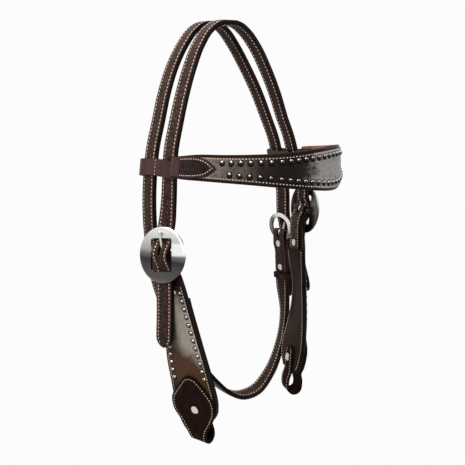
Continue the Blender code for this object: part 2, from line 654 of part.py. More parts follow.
def make_throat_strap(rows):
    """One long doubled strap; its outer leather alone folds round the ring buckle's bar and back down."""
    points, forwards = rows[:, :3], turned(rows[:, 3])
    widths = rounded_widths(points, STRAP_WIDTH / 2, 0.0, TIP)
    name = "throat_strap_lining"
    lining = ribbon(name, points, forwards, -LAYER_OFFSET, widths, -widths, LAYER, LINING_BROWN)

    mean = RING_BAR_RADIUS + GAP + LAYER / 2
    leg = RING_WIRE + GAP + LAYER / 2
    back = [(THROAT_BACK_END, -LAYER_OFFSET), (42.0, -LAYER_OFFSET), (30.0, -LAYER_OFFSET), (22.0, -leg)]
    back += [(14.0, -leg)]
    angles = [math.radians(a) for a in range(0, 181, 20)]
    fold = [(RING_BAR_DROP - mean * math.sin(a), -mean * math.cos(a)) for a in angles]
    front = [(14.0, leg), (22.0, leg), (30.0, LAYER_OFFSET), (42.0, LAYER_OFFSET)]
    folded = np.array([RING.at(down, 0.0, out) for down, out in back + fold + front])
    outward = np.array([out for _, _, out in directions(points, forwards)])
    points = np.concatenate([folded, points + outward * LAYER_OFFSET])
    forwards = np.concatenate([np.array([RING.forward] * len(folded)), forwards])
    widths = np.concatenate([np.full(len(folded), STRAP_WIDTH / 2), widths])
    outer = ribbon("throat_strap_outer", points, forwards, 0.0, widths, -widths, LAYER, STRAP_BROWN)
    cut(outer, cutter("ring_chape_slot", RING.moved(RING_BAR_DROP - 0.5, 0.0, 0.0), (3.4, 12.0, 12.0)))
    slot = cutter("throat_billet_slot", RING.moved(-3.5, 0.0, 6.5), (3.4, 18.0, 14.0))
    for layer in (outer, lining):
        cut(layer, slot)
    for number, down in enumerate(THROAT_SCREWS, start=1):
        hole = RING.moved(down, 0.0, 0.0)
        reach = (leg if down < 25.0 else LAYER_OFFSET) + LAYER / 2
        cut(outer, cutter(f"throat_screw_hole_{number}", hole, (2 * (POST_RADIUS + GAP), 0, 11.0), True))
        make_screw(f"throat_{number}", hole, reach, -reach, flush=True)


def loop_band(name, frame, corners, radius, height, thickness, look):
    """A closed leather loop round a strap: a rounded rectangle (forward, out) swept over its height."""
    (left, low), (right, high) = corners
    centres = [(right - radius, high - radius, 0), (left + radius, high - radius, 90)]
    centres += [(left + radius, low + radius, 180), (right - radius, low + radius, 270)]
    ring = []
    for x, y, start in centres:
        for step in range(4):
            angle = math.radians(start + 30 * step)
            ring.append((x + radius * math.cos(angle), y + radius * math.sin(angle)))
    mesh = bpy.data.meshes.new(name)
    made = bmesh.new()
    ends = (height / 2, -height / 2)
    rows = [[made.verts.new(Vector(frame.at(end, x, y)) * MM) for end in ends] for x, y in ring]
    for row, after in zip(rows, rows[1:] + rows[:1]):
        made.faces.new((row[0], row[1], after[1], after[0]))
    made.to_mesh(mesh)
    made.free()
    obj = bpy.data.objects.new(name, mesh)
    PARTS.objects.link(obj)
    mesh.materials.append(look)
    solid = obj.modifiers.new("leather", "SOLIDIFY")
    solid.thickness = thickness * MM
    solid.offset = 0.0
    solid.use_even_offset = True
    return obj


KEEPER_DOWN = 61.0
KEEPER_HEIGHT = 6.5
KEEPER_THICK = 1.8
KEEPER_ROOM = 0.7
KEEPER_CORNER = 2.2


def make_keeper():
    side = STRAP_WIDTH / 2 + KEEPER_ROOM + KEEPER_THICK / 2
    inner = -(LAYER + GAP / 2) - KEEPER_ROOM - KEEPER_THICK / 2
    outer = BILLET_OVER_RING[-4][1] + STRAP_THICK / 2 + KEEPER_ROOM + KEEPER_THICK / 2
    corners = ((-side, inner), (side, outer))
    frame = RING.moved(KEEPER_DOWN, 0.0, 0.0)
    loop_band("keeper", frame, corners, KEEPER_CORNER, KEEPER_HEIGHT, KEEPER_THICK, STRAP_BROWN)


# The browband from in front of the far cheek strap round the forehead to the near one: across, forward
# (negative), top edge, bottom edge. Its widest part sits a little to the far side of the forehead.
BAND = [(84.0, -32.5, -127.2, -148.0), (82.8, -46.0, -125.6, -147.0), (78.6, -70.0, -122.8, -145.8)]
BAND += [(70.0, -94.0, -119.6, -147.0), (54.0, -118.0, -116.2, -153.4), (31.0, -136.5, -114.2, -156.4)]
BAND += [(0.0, -144.0, -115.3, -153.2), (-31.0, -136.5, -117.8, -149.2), (-54.0, -118.0, -119.2, -146.8)]
BAND += [(-70.0, -94.0, -120.6, -146.2), (-78.6, -70.0, -122.0, -146.8), (-82.8, -46.0, -125.2, -148.0)]
BAND += [(-84.0, -32.5, -127.2, -148.0)]
# How far the band leans with the straps that it hangs on, at its ends.
BAND_LEAN = 11.0
# The end loop's leaf: half its height at distances from the band's end.
LEAF = [(0.0, 9.2), (12.0, 9.8), (26.0, 10.3), (38.0, 9.9), (46.0, 8.5), (52.5, 6.2)]
LEAF += [(56.5, 4.0), (59.0, 1.2)]
TAB_BACK = 26.0
LOOP_ROOM = 1.3
LOOP_HALF = 8.8
LOOP_MIDDLES = (-141.3, -143.3)


def leaning_up(x):
    """The band's own up direction at a distance across: leaning with the straps at its ends."""
    lean = math.radians(BAND_LEAN) * min(1.0, abs(x) / BAND[0][0]) ** 2
    return (-math.copysign(math.sin(lean), x), 0.0, math.cos(lean))


def band_rows(spacing):
    rows = smooth([(x, y, (top + bottom) / 2, (top - bottom) / 2, spacing) for x, y, top, bottom in BAND])
    return rows[:, :3], rows[:, 3]


def make_browband(crown, throat):
    points, halves = band_rows(10.0)
    ups = np.array([leaning_up(x) for x, _, _ in points])
    ribbon("browband_base", points, ups, 0.0, halves, -halves, BASE_THICK, STRAP_BROWN)
    hide_out = BASE_THICK / 2 + GAP + HIDE_THICK / 2
    inner = halves[1:-1] - HIDE_MARGIN
    ribbon("browband_hide", points[1:-1], ups[1:-1], hide_out, inner, -inner, HIDE_THICK, HIDE)
    lining_out = -(BASE_THICK / 2 + GAP + LINING_THICK / 2)
    ribbon("browband_lining", points, ups, lining_out, halves, -halves, LINING_THICK, TAN)
    for side in (NEAR, FAR):
        make_browband_loop(side, points, halves, ups, crown, throat)


def strap_frame(rows, side, height):
    """The frame of a strap where its middle passes a height on one side, above the buckles."""
    _, widths, outs = zip(*directions(rows[:, :3], turned(rows[:, 3])))
    reached = [row[0] * side > 60.0 and -170.0 < row[2] < -110.0 for row in rows]
    near_height = [k for k, here in enumerate(reached) if here]
    near_height.sort(key=lambda k: rows[k][2])
    heights = [rows[k][2] for k in near_height]
    found = object.__new__(Frame)

    def mean(values):
        columns = np.array([values[k] for k in near_height]).T
        return np.array([np.interp(height, heights, column) for column in columns])

    found.origin, found.forward, found.out = mean(rows[:, :3]), unit(mean(widths)), unit(mean(outs))
    if found.forward[1] > 0:
        found.forward = -found.forward
    found.down = unit(np.cross(found.forward, found.out))
    if found.down[2] > 0:
        found.down = -found.down
    return found


def make_browband_loop(side, points, halves, ups, crown, throat):
    """The end loop: a leaf on the band's face, over both straps, round behind them and inside the band."""
    tab_out = BASE_THICK / 2 + GAP + HIDE_THICK + GAP + LOOP_THICK / 2
    end_out = -(BASE_THICK / 2 + LINING_THICK + 3.5 * GAP + LOOP_THICK / 2)
    outward = np.array([out for _, _, out in directions(points, ups)])
    if side == NEAR:
        points, halves, outward, ups = points[::-1], halves[::-1], outward[::-1], ups[::-1]
    run = along(points)
    under = [k for k in range(len(run)) if run[k] < TAB_BACK]
    front, rear = (strap_frame(rows, side, middle) for rows, middle in zip((crown, throat), LOOP_MIDDLES))
    wall = STRAP_THICK / 2 + LOOP_ROOM + LOOP_THICK / 2
    edge = STRAP_WIDTH / 2
    walls = [(front, edge + 1.0, wall), (front, 0.0, wall), (front, 1.0 - edge, wall)]
    walls += [(rear, edge - 1.0, wall), (rear, 0.0, wall), (rear, -edge, wall)]
    bend = [(rear, -edge - 2.6, wall - 0.9), (rear, -edge - 4.4, 0.0), (rear, -edge - 2.6, 0.9 - wall)]
    back = [(strap, forward, -out) for strap, forward, out in walls[::-1]]
    wrapped = walls + bend + back

    def read(values, place):
        return np.array([np.interp(place, run, column) for column in np.asarray(values).T])

    leaf = LEAF[::-1]
    route = [read(points, place) + unit(read(outward, place)) * tab_out for place, _ in leaf]
    route += [strap.at(0.0, forward, out) for strap, forward, out in wrapped]
    route += [points[k] + outward[k] * end_out for k in under]
    widths = [min(np.interp(place, run, halves) - 0.4, half) for place, half in leaf]
    widths += [LOOP_HALF] * (len(wrapped) + len(under))
    up_here = [unit(read(ups, place)) for place, _ in leaf]
    up_here += [-strap.down for strap, _, _ in wrapped] + [ups[k] for k in under]
    route, widths = np.array(route), np.array(widths)
    name = f"{SIDE_NAMES[side]}_browband_loop"
    ribbon(name, route, np.array(up_here), 0.0, widths, -widths, LOOP_THICK, STRAP_BROWN)


def make_ring_buckle():
    angles = [math.radians(a) for a in range(0, 360, 45)]
    ring = [(RING_RADIUS + RING_BAND * math.cos(a), RING_WIRE * math.sin(a)) for a in angles]
    mesh = turned_mesh("ring_buckle", ring, 32)
    mesh.transform(Matrix.Diagonal((RING_OVAL, 1.0, 1.0, 1.0)))
    body = frame_object("ring_buckle", RING, mesh, STEEL)
    reach = RING_OVAL * math.sqrt(RING_RADIUS**2 - RING_BAR_DROP**2)
    bar = tube(
        "ring_bar",
        [RING.at(RING_BAR_DROP, -reach, 0.0), RING.at(RING_BAR_DROP, reach, 0.0)],
        RING_BAR_RADIUS,
        STEEL,
    )
    CUTTERS.objects.link(bar)
    PARTS.objects.unlink(bar)
    bar.hide_render = True
    bar.display_type = "WIRE"
    cut(body, bar, "UNION")
    bar_frame = RING.moved(RING_BAR_DROP, 0.0, 0.0)
    make_prong("ring_prong", bar_frame, RING_BAR_RADIUS, PRONG_WIRE, RING_PRONG_UP, RING_PRONG_OUT)


crown, throat = crown_rows(), smooth(throat_route())
make_crown_strap(crown)
make_throat_strap(throat)
for which in (NEAR, FAR):
    make_disc_buckle(which)
    resting = BAR_DEPTH + DISC_THICK / 2 + PRONG_WIRE + PRONG_REST
    make_prong(f"{SIDE_NAMES[which]}_prong", BARS[which], BAR_RADIUS, PRONG_WIRE, DISC_PRONG_UP, resting)
    make_cheek(which)
make_ring_buckle()
make_keeper()
make_browband(crown, throat)
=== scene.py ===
# %% [markdown]
# # A western headstall, dressed for the camera
#
# The solids of the headstall are already built and packed: two doubled straps over the poll, a browband,
# two cheek pieces, buckles, screws and loops. This script loads them as a fixed frame and gives each one
# its finish. Leather that needs rounded edges, stitch grooves and hair is swept again along the same
# routes, and stands in for its plain solid. Lengths below are millimetres; meshes are made in metres.

# %% Load the frame
import math

import bmesh
import bpy
import numpy as np
from mathutils import Matrix, Vector


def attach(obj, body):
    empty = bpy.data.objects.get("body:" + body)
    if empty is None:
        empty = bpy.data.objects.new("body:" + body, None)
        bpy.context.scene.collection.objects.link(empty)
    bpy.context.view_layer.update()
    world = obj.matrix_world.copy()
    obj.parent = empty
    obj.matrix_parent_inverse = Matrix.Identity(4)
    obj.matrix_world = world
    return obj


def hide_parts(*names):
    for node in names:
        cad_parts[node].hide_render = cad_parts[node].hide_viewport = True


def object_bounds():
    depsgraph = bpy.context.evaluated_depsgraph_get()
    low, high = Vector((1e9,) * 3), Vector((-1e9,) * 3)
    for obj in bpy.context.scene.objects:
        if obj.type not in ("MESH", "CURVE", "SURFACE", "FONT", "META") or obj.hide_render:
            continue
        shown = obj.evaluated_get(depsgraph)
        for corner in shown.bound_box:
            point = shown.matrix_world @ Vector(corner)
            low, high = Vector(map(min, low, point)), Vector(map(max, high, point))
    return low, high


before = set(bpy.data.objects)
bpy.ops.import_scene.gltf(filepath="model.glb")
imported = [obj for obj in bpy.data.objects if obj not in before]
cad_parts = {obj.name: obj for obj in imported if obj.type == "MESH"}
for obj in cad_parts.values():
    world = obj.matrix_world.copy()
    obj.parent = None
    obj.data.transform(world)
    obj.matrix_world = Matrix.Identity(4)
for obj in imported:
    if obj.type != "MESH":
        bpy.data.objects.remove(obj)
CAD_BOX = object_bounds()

MM = 0.001
NEAR, FAR = -1, 1
SIDE_NAMES = {NEAR: "near", FAR: "far"}


def shown(name, data):
    """A new object in the scene, at the origin."""
    obj = bpy.data.objects.new(name, data)
    bpy.context.scene.collection.objects.link(obj)
    return obj


def scaled(tone, factor):
    """The same colour, darker or lighter by a factor."""
    return (*(c * factor for c in tone[:3]), 1.0)


# %% [markdown]
# ## Camera
#
# The camera stands where the photographer stood: 35 degrees to the horse's right of straight ahead and
# 13 degrees above, about 0.7 m away. Its lens makes the headstall as large in the frame as in the photo.

# %% Camera
CAMERA_AZIMUTH = -34.91
CAMERA_ELEVATION = 13.14
CAMERA_DISTANCE = 705.82
CAMERA_TARGET = (-32.19, -58.0, -205.18)
FOCAL_PIXELS = 697.58
FRAME_PIXELS = 465
SENSOR = 36.0
CLIP_START, CLIP_END = 0.01, 50.0


def make_camera():
    azimuth, elevation = math.radians(CAMERA_AZIMUTH), math.radians(CAMERA_ELEVATION)
    level = math.cos(elevation)
    back = Vector((math.sin(azimuth) * level, -math.cos(azimuth) * level, math.sin(elevation)))
    data = bpy.data.cameras.new("camera")
    data.sensor_width = SENSOR
    data.lens = FOCAL_PIXELS / FRAME_PIXELS * SENSOR
    data.clip_start, data.clip_end = CLIP_START, CLIP_END
    camera = shown("camera", data)
    camera.location = (Vector(CAMERA_TARGET) + back * CAMERA_DISTANCE) * MM
    camera.rotation_mode = "QUATERNION"
    camera.rotation_quaternion = (-back).to_track_quat("-Z", "Y")
    bpy.context.scene.camera = camera
    bpy.context.scene.view_settings.view_transform = "Standard"
    print("lens:", round(data.lens, 3), "mm")


make_camera()

# %% [markdown]
# ## Writing shaders as sums
#
# A material is a network of nodes. `Value` wraps one socket, so that `grain * 0.4 + wear` adds the Math
# nodes itself, and `Finish.node` adds any other node. Colours are mixed with Mix nodes, because a Math
# node would turn them grey.

# %% Shader helpers
class Value:
    """A number or colour that a node gives; + - * / on it add Math nodes."""

    def __init__(self, finish, socket):
        self.finish, self.socket = finish, socket

    def math(self, operation, *values, clamp=False):
        settings = {"operation": operation, "use_clamp": clamp}
        return self.finish.node("ShaderNodeMath", settings, dict(enumerate(values)))

    def __add__(self, other):
        return self.math("ADD", self, other)

    def __sub__(self, other):
        return self.math("SUBTRACT", self, other)

    def __rsub__(self, other):
        return self.math("SUBTRACT", other, self)

    def __mul__(self, other):
        return self.math("MULTIPLY", self, other)

    def __truediv__(self, other):
        return self.math("DIVIDE", self, other)

    __radd__, __rmul__ = __add__, __mul__

    def size(self):
        return self.math("ABSOLUTE", self)

    def clamped(self):
        return self.math("ADD", self, 0.0, clamp=True)

    def step(self, start, end):
        """0 below the start and 1 past the end, with an eased ramp between."""
        settings = {"interpolation_type": "SMOOTHSTEP"}
        sockets = {"Value": self, "From Min": start, "From Max": end}
        return self.finish.node("ShaderNodeMapRange", settings, sockets)


class Network:
    """A tree of shader nodes, and one method that adds any node to it."""

    def __init__(self, tree):
        self.tree = tree

    def node(self, kind, settings=None, sockets=None, output=0):
        made = self.tree.nodes.new(kind)
        for key, value in (settings or {}).items():
            if key == "stops":
                self.set_stops(made.color_ramp, value)
            else:
                setattr(made, key, value)
        for key, value in (sockets or {}).items():
            self.feed(made.inputs[key], value)
        return Value(self, made.outputs[output])

    def feed(self, socket, value):
        if isinstance(value, Value):
            self.tree.links.new(value.socket, socket)
        else:
            socket.default_value = value

    def set_stops(self, ramp, stops):
        while len(ramp.elements) < len(stops):
            ramp.elements.new(0.5)
        for element, (place, colour) in zip(ramp.elements, stops):
            element.position = place
            element.color = (*colour[:3], 1.0)

    def seen_straight(self):
        """1 for what the camera sees, also mirrored or through glass, and 0 for light that bounces on."""
        names = "Is Camera Ray", "Is Glossy Ray", "Is Transmission Ray"
        first, *others = (self.node("ShaderNodeLightPath", output=name) for name in names)
        return sum(others, first).clamped()


class Finish(Network):
    """A material in the making, with the textures that the finishes share."""

    def __init__(self, name, **fixed):
        self.material = bpy.data.materials.new(name)
        self.material.use_nodes = True
        super().__init__(self.material.node_tree)
        self.shader = self.tree.nodes["Principled BSDF"]
        self.set(**fixed)

    def place(self):
        """Where a point of the surface is, in metres, on the object at rest."""
        return self.node("ShaderNodeTexCoord", output=3)

    def attribute(self, name):
        return self.node("ShaderNodeAttribute", {"attribute_name": name}, output=2)

    def sheet(self, name="leather"):
        """A piece's own millimetres: across and along leather, or across and up a metal face."""
        return self.node("ShaderNodeUVMap", {"uv_map": name})

    def axis(self, vector, number):
        """One part of a vector: 0 for X, 1 for Y and 2 for Z."""
        return self.node("ShaderNodeSeparateXYZ", None, {0: vector}, output=number)

    def mapped(self, vector, scale=(1.0, 1.0, 1.0), turn=0.0):
        """Coordinates scaled, and then turned by some degrees."""
        sockets = {"Vector": vector, "Rotation": (0.0, 0.0, math.radians(turn)), "Scale": scale}
        return self.node("ShaderNodeMapping", None, sockets)

    def stretched(self, across, along):
        """The leather's own coordinates, scaled apart across and along it."""
        return self.mapped(self.sheet(), (across, along, 1.0))

    def noise(self, vector, scale, detail=3.0, roughness=0.55):
        sockets = {"Vector": vector, "Scale": scale, "Detail": detail, "Roughness": roughness}
        return self.node("ShaderNodeTexNoise", None, sockets)

    def cells(self, vector, scale, feature="DISTANCE_TO_EDGE"):
        return self.node("ShaderNodeTexVoronoi", {"feature": feature}, {"Vector": vector, "Scale": scale})

    def mix(self, share, first, second, blend="MIX"):
        settings = {"data_type": "RGBA", "blend_type": blend}
        return self.node("ShaderNodeMix", settings, {0: share, 6: first, 7: second}, output=2)

    def ramp(self, share, stops):
        return self.node("ShaderNodeValToRGB", {"stops": stops}, {"Fac": share})

    def bump(self, height, distance, strength=1.0, normal=None):
        sockets = {"Height": height, "Distance": distance * MM, "Strength": strength}
        if normal:
            sockets["Normal"] = normal
        return self.node("ShaderNodeBump", None, sockets)

    def set(self, **values):
        for socket, value in values.items():
            self.feed(self.shader.inputs[socket.replace("_", " ")], value)
        return self.material


def colour(red, green, blue):
    """A screen colour from 0 to 255, as the linear RGBA that a shader takes."""
    parts = [c / 255.0 for c in (red, green, blue)]
    return tuple(p / 12.92 if p <= 0.04045 else ((p + 0.055) / 1.055) ** 2.4 for p in parts) + (1.0,)


# %% [markdown]
# ## Floor, world and lamps
#
# The floor and the world show themselves white but light the leather only weakly. Soft area lamps do that
# at a plain level, so that the dark leather keeps its depth.

# %% Floor, world and lamps
FLOOR_DROP, FLOOR_WIDTH = 300.0, 12000.0
FLOOR_GREY = (0.9, 0.9, 0.9, 1.0)
WORLD_FILL = 0.14
WHITE = (0.974, 0.974, 0.974, 1.0)
# Name, place, watts and width of each lamp; all of them face the middle of the headstall.
LAMPS = [
    ("key", (-900.0, -700.0, 700.0), 11.0, 420.0),
    ("top", (-100.0, 250.0, 900.0), 10.0, 420.0),
    ("right", (1000.0, -500.0, 100.0), 3.5, 420.0),
]
LAMP_AIM = (0.0, -30.0, -200.0)


def make_stage():
    """A wide floor that looks white and lights the headstall as pale grey."""
    low = CAD_BOX[0].z - FLOOR_DROP * MM
    bpy.ops.mesh.primitive_plane_add(size=FLOOR_WIDTH * MM, location=(0.0, 0.0, low))
    floor = bpy.context.object
    floor.name = "floor"
    look = Finish("pale_floor", Roughness=0.9, Base_Color=FLOOR_GREY)
    glow = look.node("ShaderNodeEmission", None, {"Color": WHITE, "Strength": 1.0})
    shader = Value(look, look.shader.outputs[0])
    both = look.node("ShaderNodeMixShader", None, {0: look.seen_straight(), 1: shader, 2: glow})
    look.feed(look.tree.nodes["Material Output"].inputs["Surface"], both)
    floor.data.materials.append(look.material)


def make_world():
    """White where it is seen, and only a weak fill where it lights the headstall."""
    world = bpy.data.worlds.new("studio")
    bpy.context.scene.world = world
    world.use_nodes = True
    look = Network(world.node_tree)
    background = look.tree.nodes["Background"]
    look.feed(background.inputs["Color"], WHITE)
    look.feed(background.inputs["Strength"], look.seen_straight() * (1.0 - WORLD_FILL) + WORLD_FILL)


def make_lamps():
    """Square soft lamps that face the middle of the headstall."""
    for name, place, watts, width in LAMPS:
        data = bpy.data.lights.new(name, "AREA")
        data.energy, data.size = watts, width * MM
        lamp = shown(name, data)
        lamp.location = Vector(place) * MM
        lamp.rotation_mode = "QUATERNION"
        lamp.rotation_quaternion = (Vector(LAMP_AIM) - Vector(place)).to_track_quat("-Z", "Y")


make_stage()
make_world()
make_lamps()
print("lamps:", ", ".join(name for name, *others in LAMPS))

# %% [markdown]
# ## The frames and routes of the straps
#
# A strap is easiest to describe by its route: a middle line, a direction across it, and a direction out
# of its face. These are the same routes and sizes that the solids were made from, sampled more finely, so
# that what is swept along them lies exactly where the solids lie.

# %% Frames of the buckles
STRAP_WIDTH = 19.0
LAYER = 2.35
GAP = 0.3
# Swept leather is thickened by these, to close the gap that the solids keep between two layers.
FOLD_FILL, FACE_FILL = 0.13, 0.28
STRAP_THICK = 2 * LAYER + GAP
DISC_RADIUS, DISC_THICK = 28.6, 3.2
WINDOW_WIDTH, WINDOW_HEIGHT = 26.0, 34.0
BAR_RADIUS, BAR_DEPTH = 1.8, 4.5
BILLET_HUMP = 7.7
BILLET_BACK = -(DISC_THICK / 2 + GAP + STRAP_THICK / 2)


class Frame:
    """A place and three unit directions: down the strap, forward across it, and out of its face."""

    def __init__(self, origin, side, toe_in, lean, sweep):
        toe, tilt, swing = (math.radians(v) for v in (toe_in, lean, sweep))
        self.origin = np.array(origin, float)
        flat_out = np.array([side * math.cos(toe), -math.sin(toe), 0.0])
        flat_forward = np.array([-side * math.sin(toe), -math.cos(toe), 0.0])
        up = np.array([0.0, 0.0, 1.0])
        down = -up * math.cos(tilt) - flat_out * math.sin(tilt)
        self.out = flat_out * math.cos(tilt) - up * math.sin(tilt)
        self.down = down * math.cos(swing) + flat_forward * math.sin(swing)
        self.forward = flat_forward * math.cos(swing) - down * math.sin(swing)

    def at(self, down, forward, out):
        return self.origin + self.down * down + self.forward * forward + self.out * out

    def moved(self, down, forward, out):
        copy = object.__new__(Frame)
        copy.origin = self.at(down, forward, out)
        copy.down, copy.forward, copy.out = self.down, self.forward, self.out
        return copy

    def matrix(self):
        """Own X, Y and Z run forward, up and out; the lengths are turned into metres."""
        up = -self.down
        axes = (np.cross(up, self.out), up, self.out)
        rows = [[float(axis[k]) for axis in axes] + [float(self.origin[k]) * MM] for k in range(3)]
        return Matrix((*rows, (0.0, 0.0, 0.0, 1.0)))


DISCS = {
    NEAR: Frame((-93.4, -21.2, -227.4), NEAR, 23.0, -11.2, 7.0),
    FAR: Frame((97.2, -19.0, -201.0), FAR, 8.0, 4.0, -2.0),
}
# Below its bar a cheek piece turns into the direction that it hangs in.
HANGS = {NEAR: Frame((-93.4, -21.2, -227.4), NEAR, 24.0, 7.5, -4.0), FAR: DISCS[FAR]}
BARS = {side: disc.moved(0.0, 0.0, -BAR_DEPTH) for side, disc in DISCS.items()}
RING = Frame((87.6, 13.2, -227.5), FAR, -4.0, -3.0, 1.0)

# %% [markdown]
# ## Smooth routes
#
# Leather bends in even curves, so a route needs only a few knots. The stations between them lie on a cubic
# curve, closer together where the strap turns sharply. This way the route is the very one that the solids
# follow.

# %% Smooth routes
SMOOTHING_STEPS = 60


def unit(v):
    return v / np.linalg.norm(v, axis=-1, keepdims=True)


def read_table(places, at, table):
    """Rows of a table, whose rows stand at the given distances, read at other distances."""
    return np.array([np.interp(places, at, column) for column in np.array(table).T]).T


def on_curve(values, slopes, i, t, span):
    """Values at a share t of the way from station i to the next, on a curve with the given slopes."""
    start = values[i] * (2 * t**3 - 3 * t**2 + 1) + slopes[i] * span * (t**3 - 2 * t**2 + t)
    return start + values[i + 1] * (3 * t**2 - 2 * t**3) + slopes[i + 1] * span * (t**3 - t**2)


def running(steps):
    """Distances from the start, given the steps between stations."""
    return np.concatenate([[0.0], np.cumsum(steps)])


def smooth(knots, spacing=None):
    """Stations along a smooth curve through the knots; a knot's last value is the spacing there."""
    knots = np.array(knots, float)
    if spacing is not None:
        knots = np.column_stack([knots, np.full(len(knots), spacing)])
    steps = np.linalg.norm(np.diff(knots[:, :3], axis=0), axis=1)
    at = running(steps)
    places = np.linspace(0.0, at[-1], SMOOTHING_STEPS * len(knots) + 1)
    i = np.minimum(np.searchsorted(at, places, side="right") - 1, len(steps) - 1)
    t = ((places - at[i]) / steps[i])[:, None]
    rows = on_curve(knots, np.gradient(knots, at, axis=0), i, t, steps[i][:, None])
    rows[:, -1] = np.interp(places, at, knots[:, -1])
    run = running(np.linalg.norm(np.diff(rows[:, :3], axis=0), axis=1) / rows[:-1, -1])
    return read_table(np.linspace(0.0, run[-1], max(2, round(run[-1])) + 1), run, rows)


def through(table, places):
    """Values of a table of (place, value) pairs, read along a smooth curve through them."""
    at, values = np.array(table, float).T
    places = np.clip(np.asarray(places, float), at[0], at[-1])
    i = np.clip(np.searchsorted(at, places, side="right") - 1, 0, len(at) - 2)
    span = at[i + 1] - at[i]
    return on_curve(values, np.gradient(values, at), i, (places - at[i]) / span, span)


class Route:
    """A middle line with, at each station, the directions across the strap and out of its face.

    Facing is -1 where the face would otherwise turn inward, because the route runs the other way."""

    def __init__(self, points, forwards, facing=1):
        self.facing = facing
        self.points = np.array(points, float)
        self.tangents = unit(np.gradient(self.points, axis=0))
        forwards = np.array(forwards, float)
        along = np.sum(forwards * self.tangents, axis=1)[:, None]
        self.across = unit(forwards - self.tangents * along)
        self.outs = np.cross(self.across, self.tangents) * facing
        self.run = running(np.linalg.norm(np.diff(self.points, axis=0), axis=1))

    def read(self, values, run):
        return read_table(run, self.run, values)

    def spots(self, run, across, out):
        """Points on the strap at distances along it, across it and out of it, with their out directions."""
        outs = unit(self.read(self.outs, run))
        sideways = unit(self.read(self.across, run))
        shift = sideways * np.asarray(across)[:, None] + outs * np.asarray(out)[:, None]
        return self.read(self.points, run) + shift, outs


def turned(turns):
    """Forward directions at turns in degrees: positive turns the front edge towards -X."""
    turns = np.radians(turns)
    return np.stack([-np.sin(turns), -np.cos(turns), 0 * turns], axis=1)


def eased(value, start, end):
    t = np.clip((value - start) / (end - start), 0.0, 1.0)
    return t * t * (3.0 - 2.0 * t)


# %% [markdown]
# ## Routes of the cheek pieces
#
# A cheek piece turns from its bar's direction into the one that it hangs in, and slopes forward. The far
# one also bows out and twists a little, as leather that has taken a set does.

# %% Routes of the cheek pieces
CHEEK_SLOPE = {NEAR: 10.8, FAR: 10.0}
SLOPE_START = {NEAR: 5.0, FAR: 10.0}
CHEEK_TWIST = {NEAR: (0.0, 0.0), FAR: (17.0, 8.0)}
CHEEK_BOW = {NEAR: (0.0, 0.0), FAR: (6.0, 11.0)}
# From where to where, below the bar, a cheek piece bows out and back, and twists and untwists.
BOW_OUT, BOW_BACK = (46.0, 96.0), (104.0, 188.0)
TWIST_ON, TWIST_BACK = (46.0, 98.0), (112.0, 166.0)
SLOPE_REACH = 2.0
BEND_START, BEND_END, BEND_STEPS = 13.0, 37.0, 12


def cheek_bow(side, down):
    bow, back = CHEEK_BOW[side]
    return bow * eased(down, *BOW_OUT) - back * eased(down, *BOW_BACK)


def cheek_shift(side, down):
    return math.tan(math.radians(CHEEK_SLOPE[side])) * max(0.0, down - SLOPE_START[side])


def bent_frame(side, down):
    """A frame on the cheek's own line, which turns from the bar's direction into the one it hangs in."""
    bar, hang = BARS[side], HANGS[side]

    def blend(first, second, place):
        share = eased(place, BEND_START, BEND_END)
        return first * (1.0 - share) + second * share

    found = bar.moved(min(down, BEND_START), 0.0, 0.0)
    reach = min(down, BEND_END) - BEND_START
    for k in range(BEND_STEPS if reach > 0.0 else 0):
        step = unit(blend(bar.down, hang.down, BEND_START + reach * (k + 0.5) / BEND_STEPS))
        found.origin = found.origin + step * (reach / BEND_STEPS)
    found.down = unit(blend(bar.down, hang.down, down))
    forward = blend(bar.forward, hang.forward, down)
    found.forward = unit(forward - found.down * (found.down @ forward))
    found.out = np.cross(found.forward, found.down) * side
    return found.moved(max(0.0, down - BEND_END), 0.0, 0.0)


def cheek_frame(side, down):
    """The cheek's frame at a distance below the bar."""
    bent = bent_frame(side, down)
    twist, back = CHEEK_TWIST[side]
    turn = math.radians(twist * eased(down, *TWIST_ON) - back * eased(down, *TWIST_BACK))
    found = bent.moved(0.0, cheek_shift(side, down), cheek_bow(side, down))
    found.forward = bent.forward * math.cos(turn) - bent.out * math.sin(turn)
    found.out = bent.out * math.cos(turn) + bent.forward * math.sin(turn)
    return found


def screw_frame(side, down, out):
    """A frame for a screw that stands square on the cheek, which may slope where it bows."""
    found = cheek_frame(side, down).moved(0.0, 0.0, out)
    above, below = (cheek_frame(side, down + reach).origin for reach in (-SLOPE_REACH, SLOPE_REACH))
    slope = unit(below - above)
    found.forward = unit(found.forward - slope * (slope @ found.forward))
    found.down = slope
    found.out = np.cross(found.forward, slope) * side
    return found


def cheek_route(side, profile):
    """A route on the cheek from (down, out) pairs, with the distance below the bar at each station."""
    frames = [cheek_frame(side, down) for down, _ in profile]
    points = [found.at(0.0, 0.0, out) for found, (_, out) in zip(frames, profile)]
    return Route(points, [found.forward for found in frames], side)


def fine_profile(profile, spacing):
    """A (down, out) profile with rounder turns and closer stations."""
    rows = smooth([(down, out, 0.0) for down, out in profile], spacing)
    return rows[:, :2]


# %% [markdown]
# ## Routes of the crown strap and the throat strap
#
# A knot is a point on the strap's middle and the turn of its front edge in degrees. Over the poll the two
# sides mirror each other. At a round buckle the strap comes up through the window and over the bar.

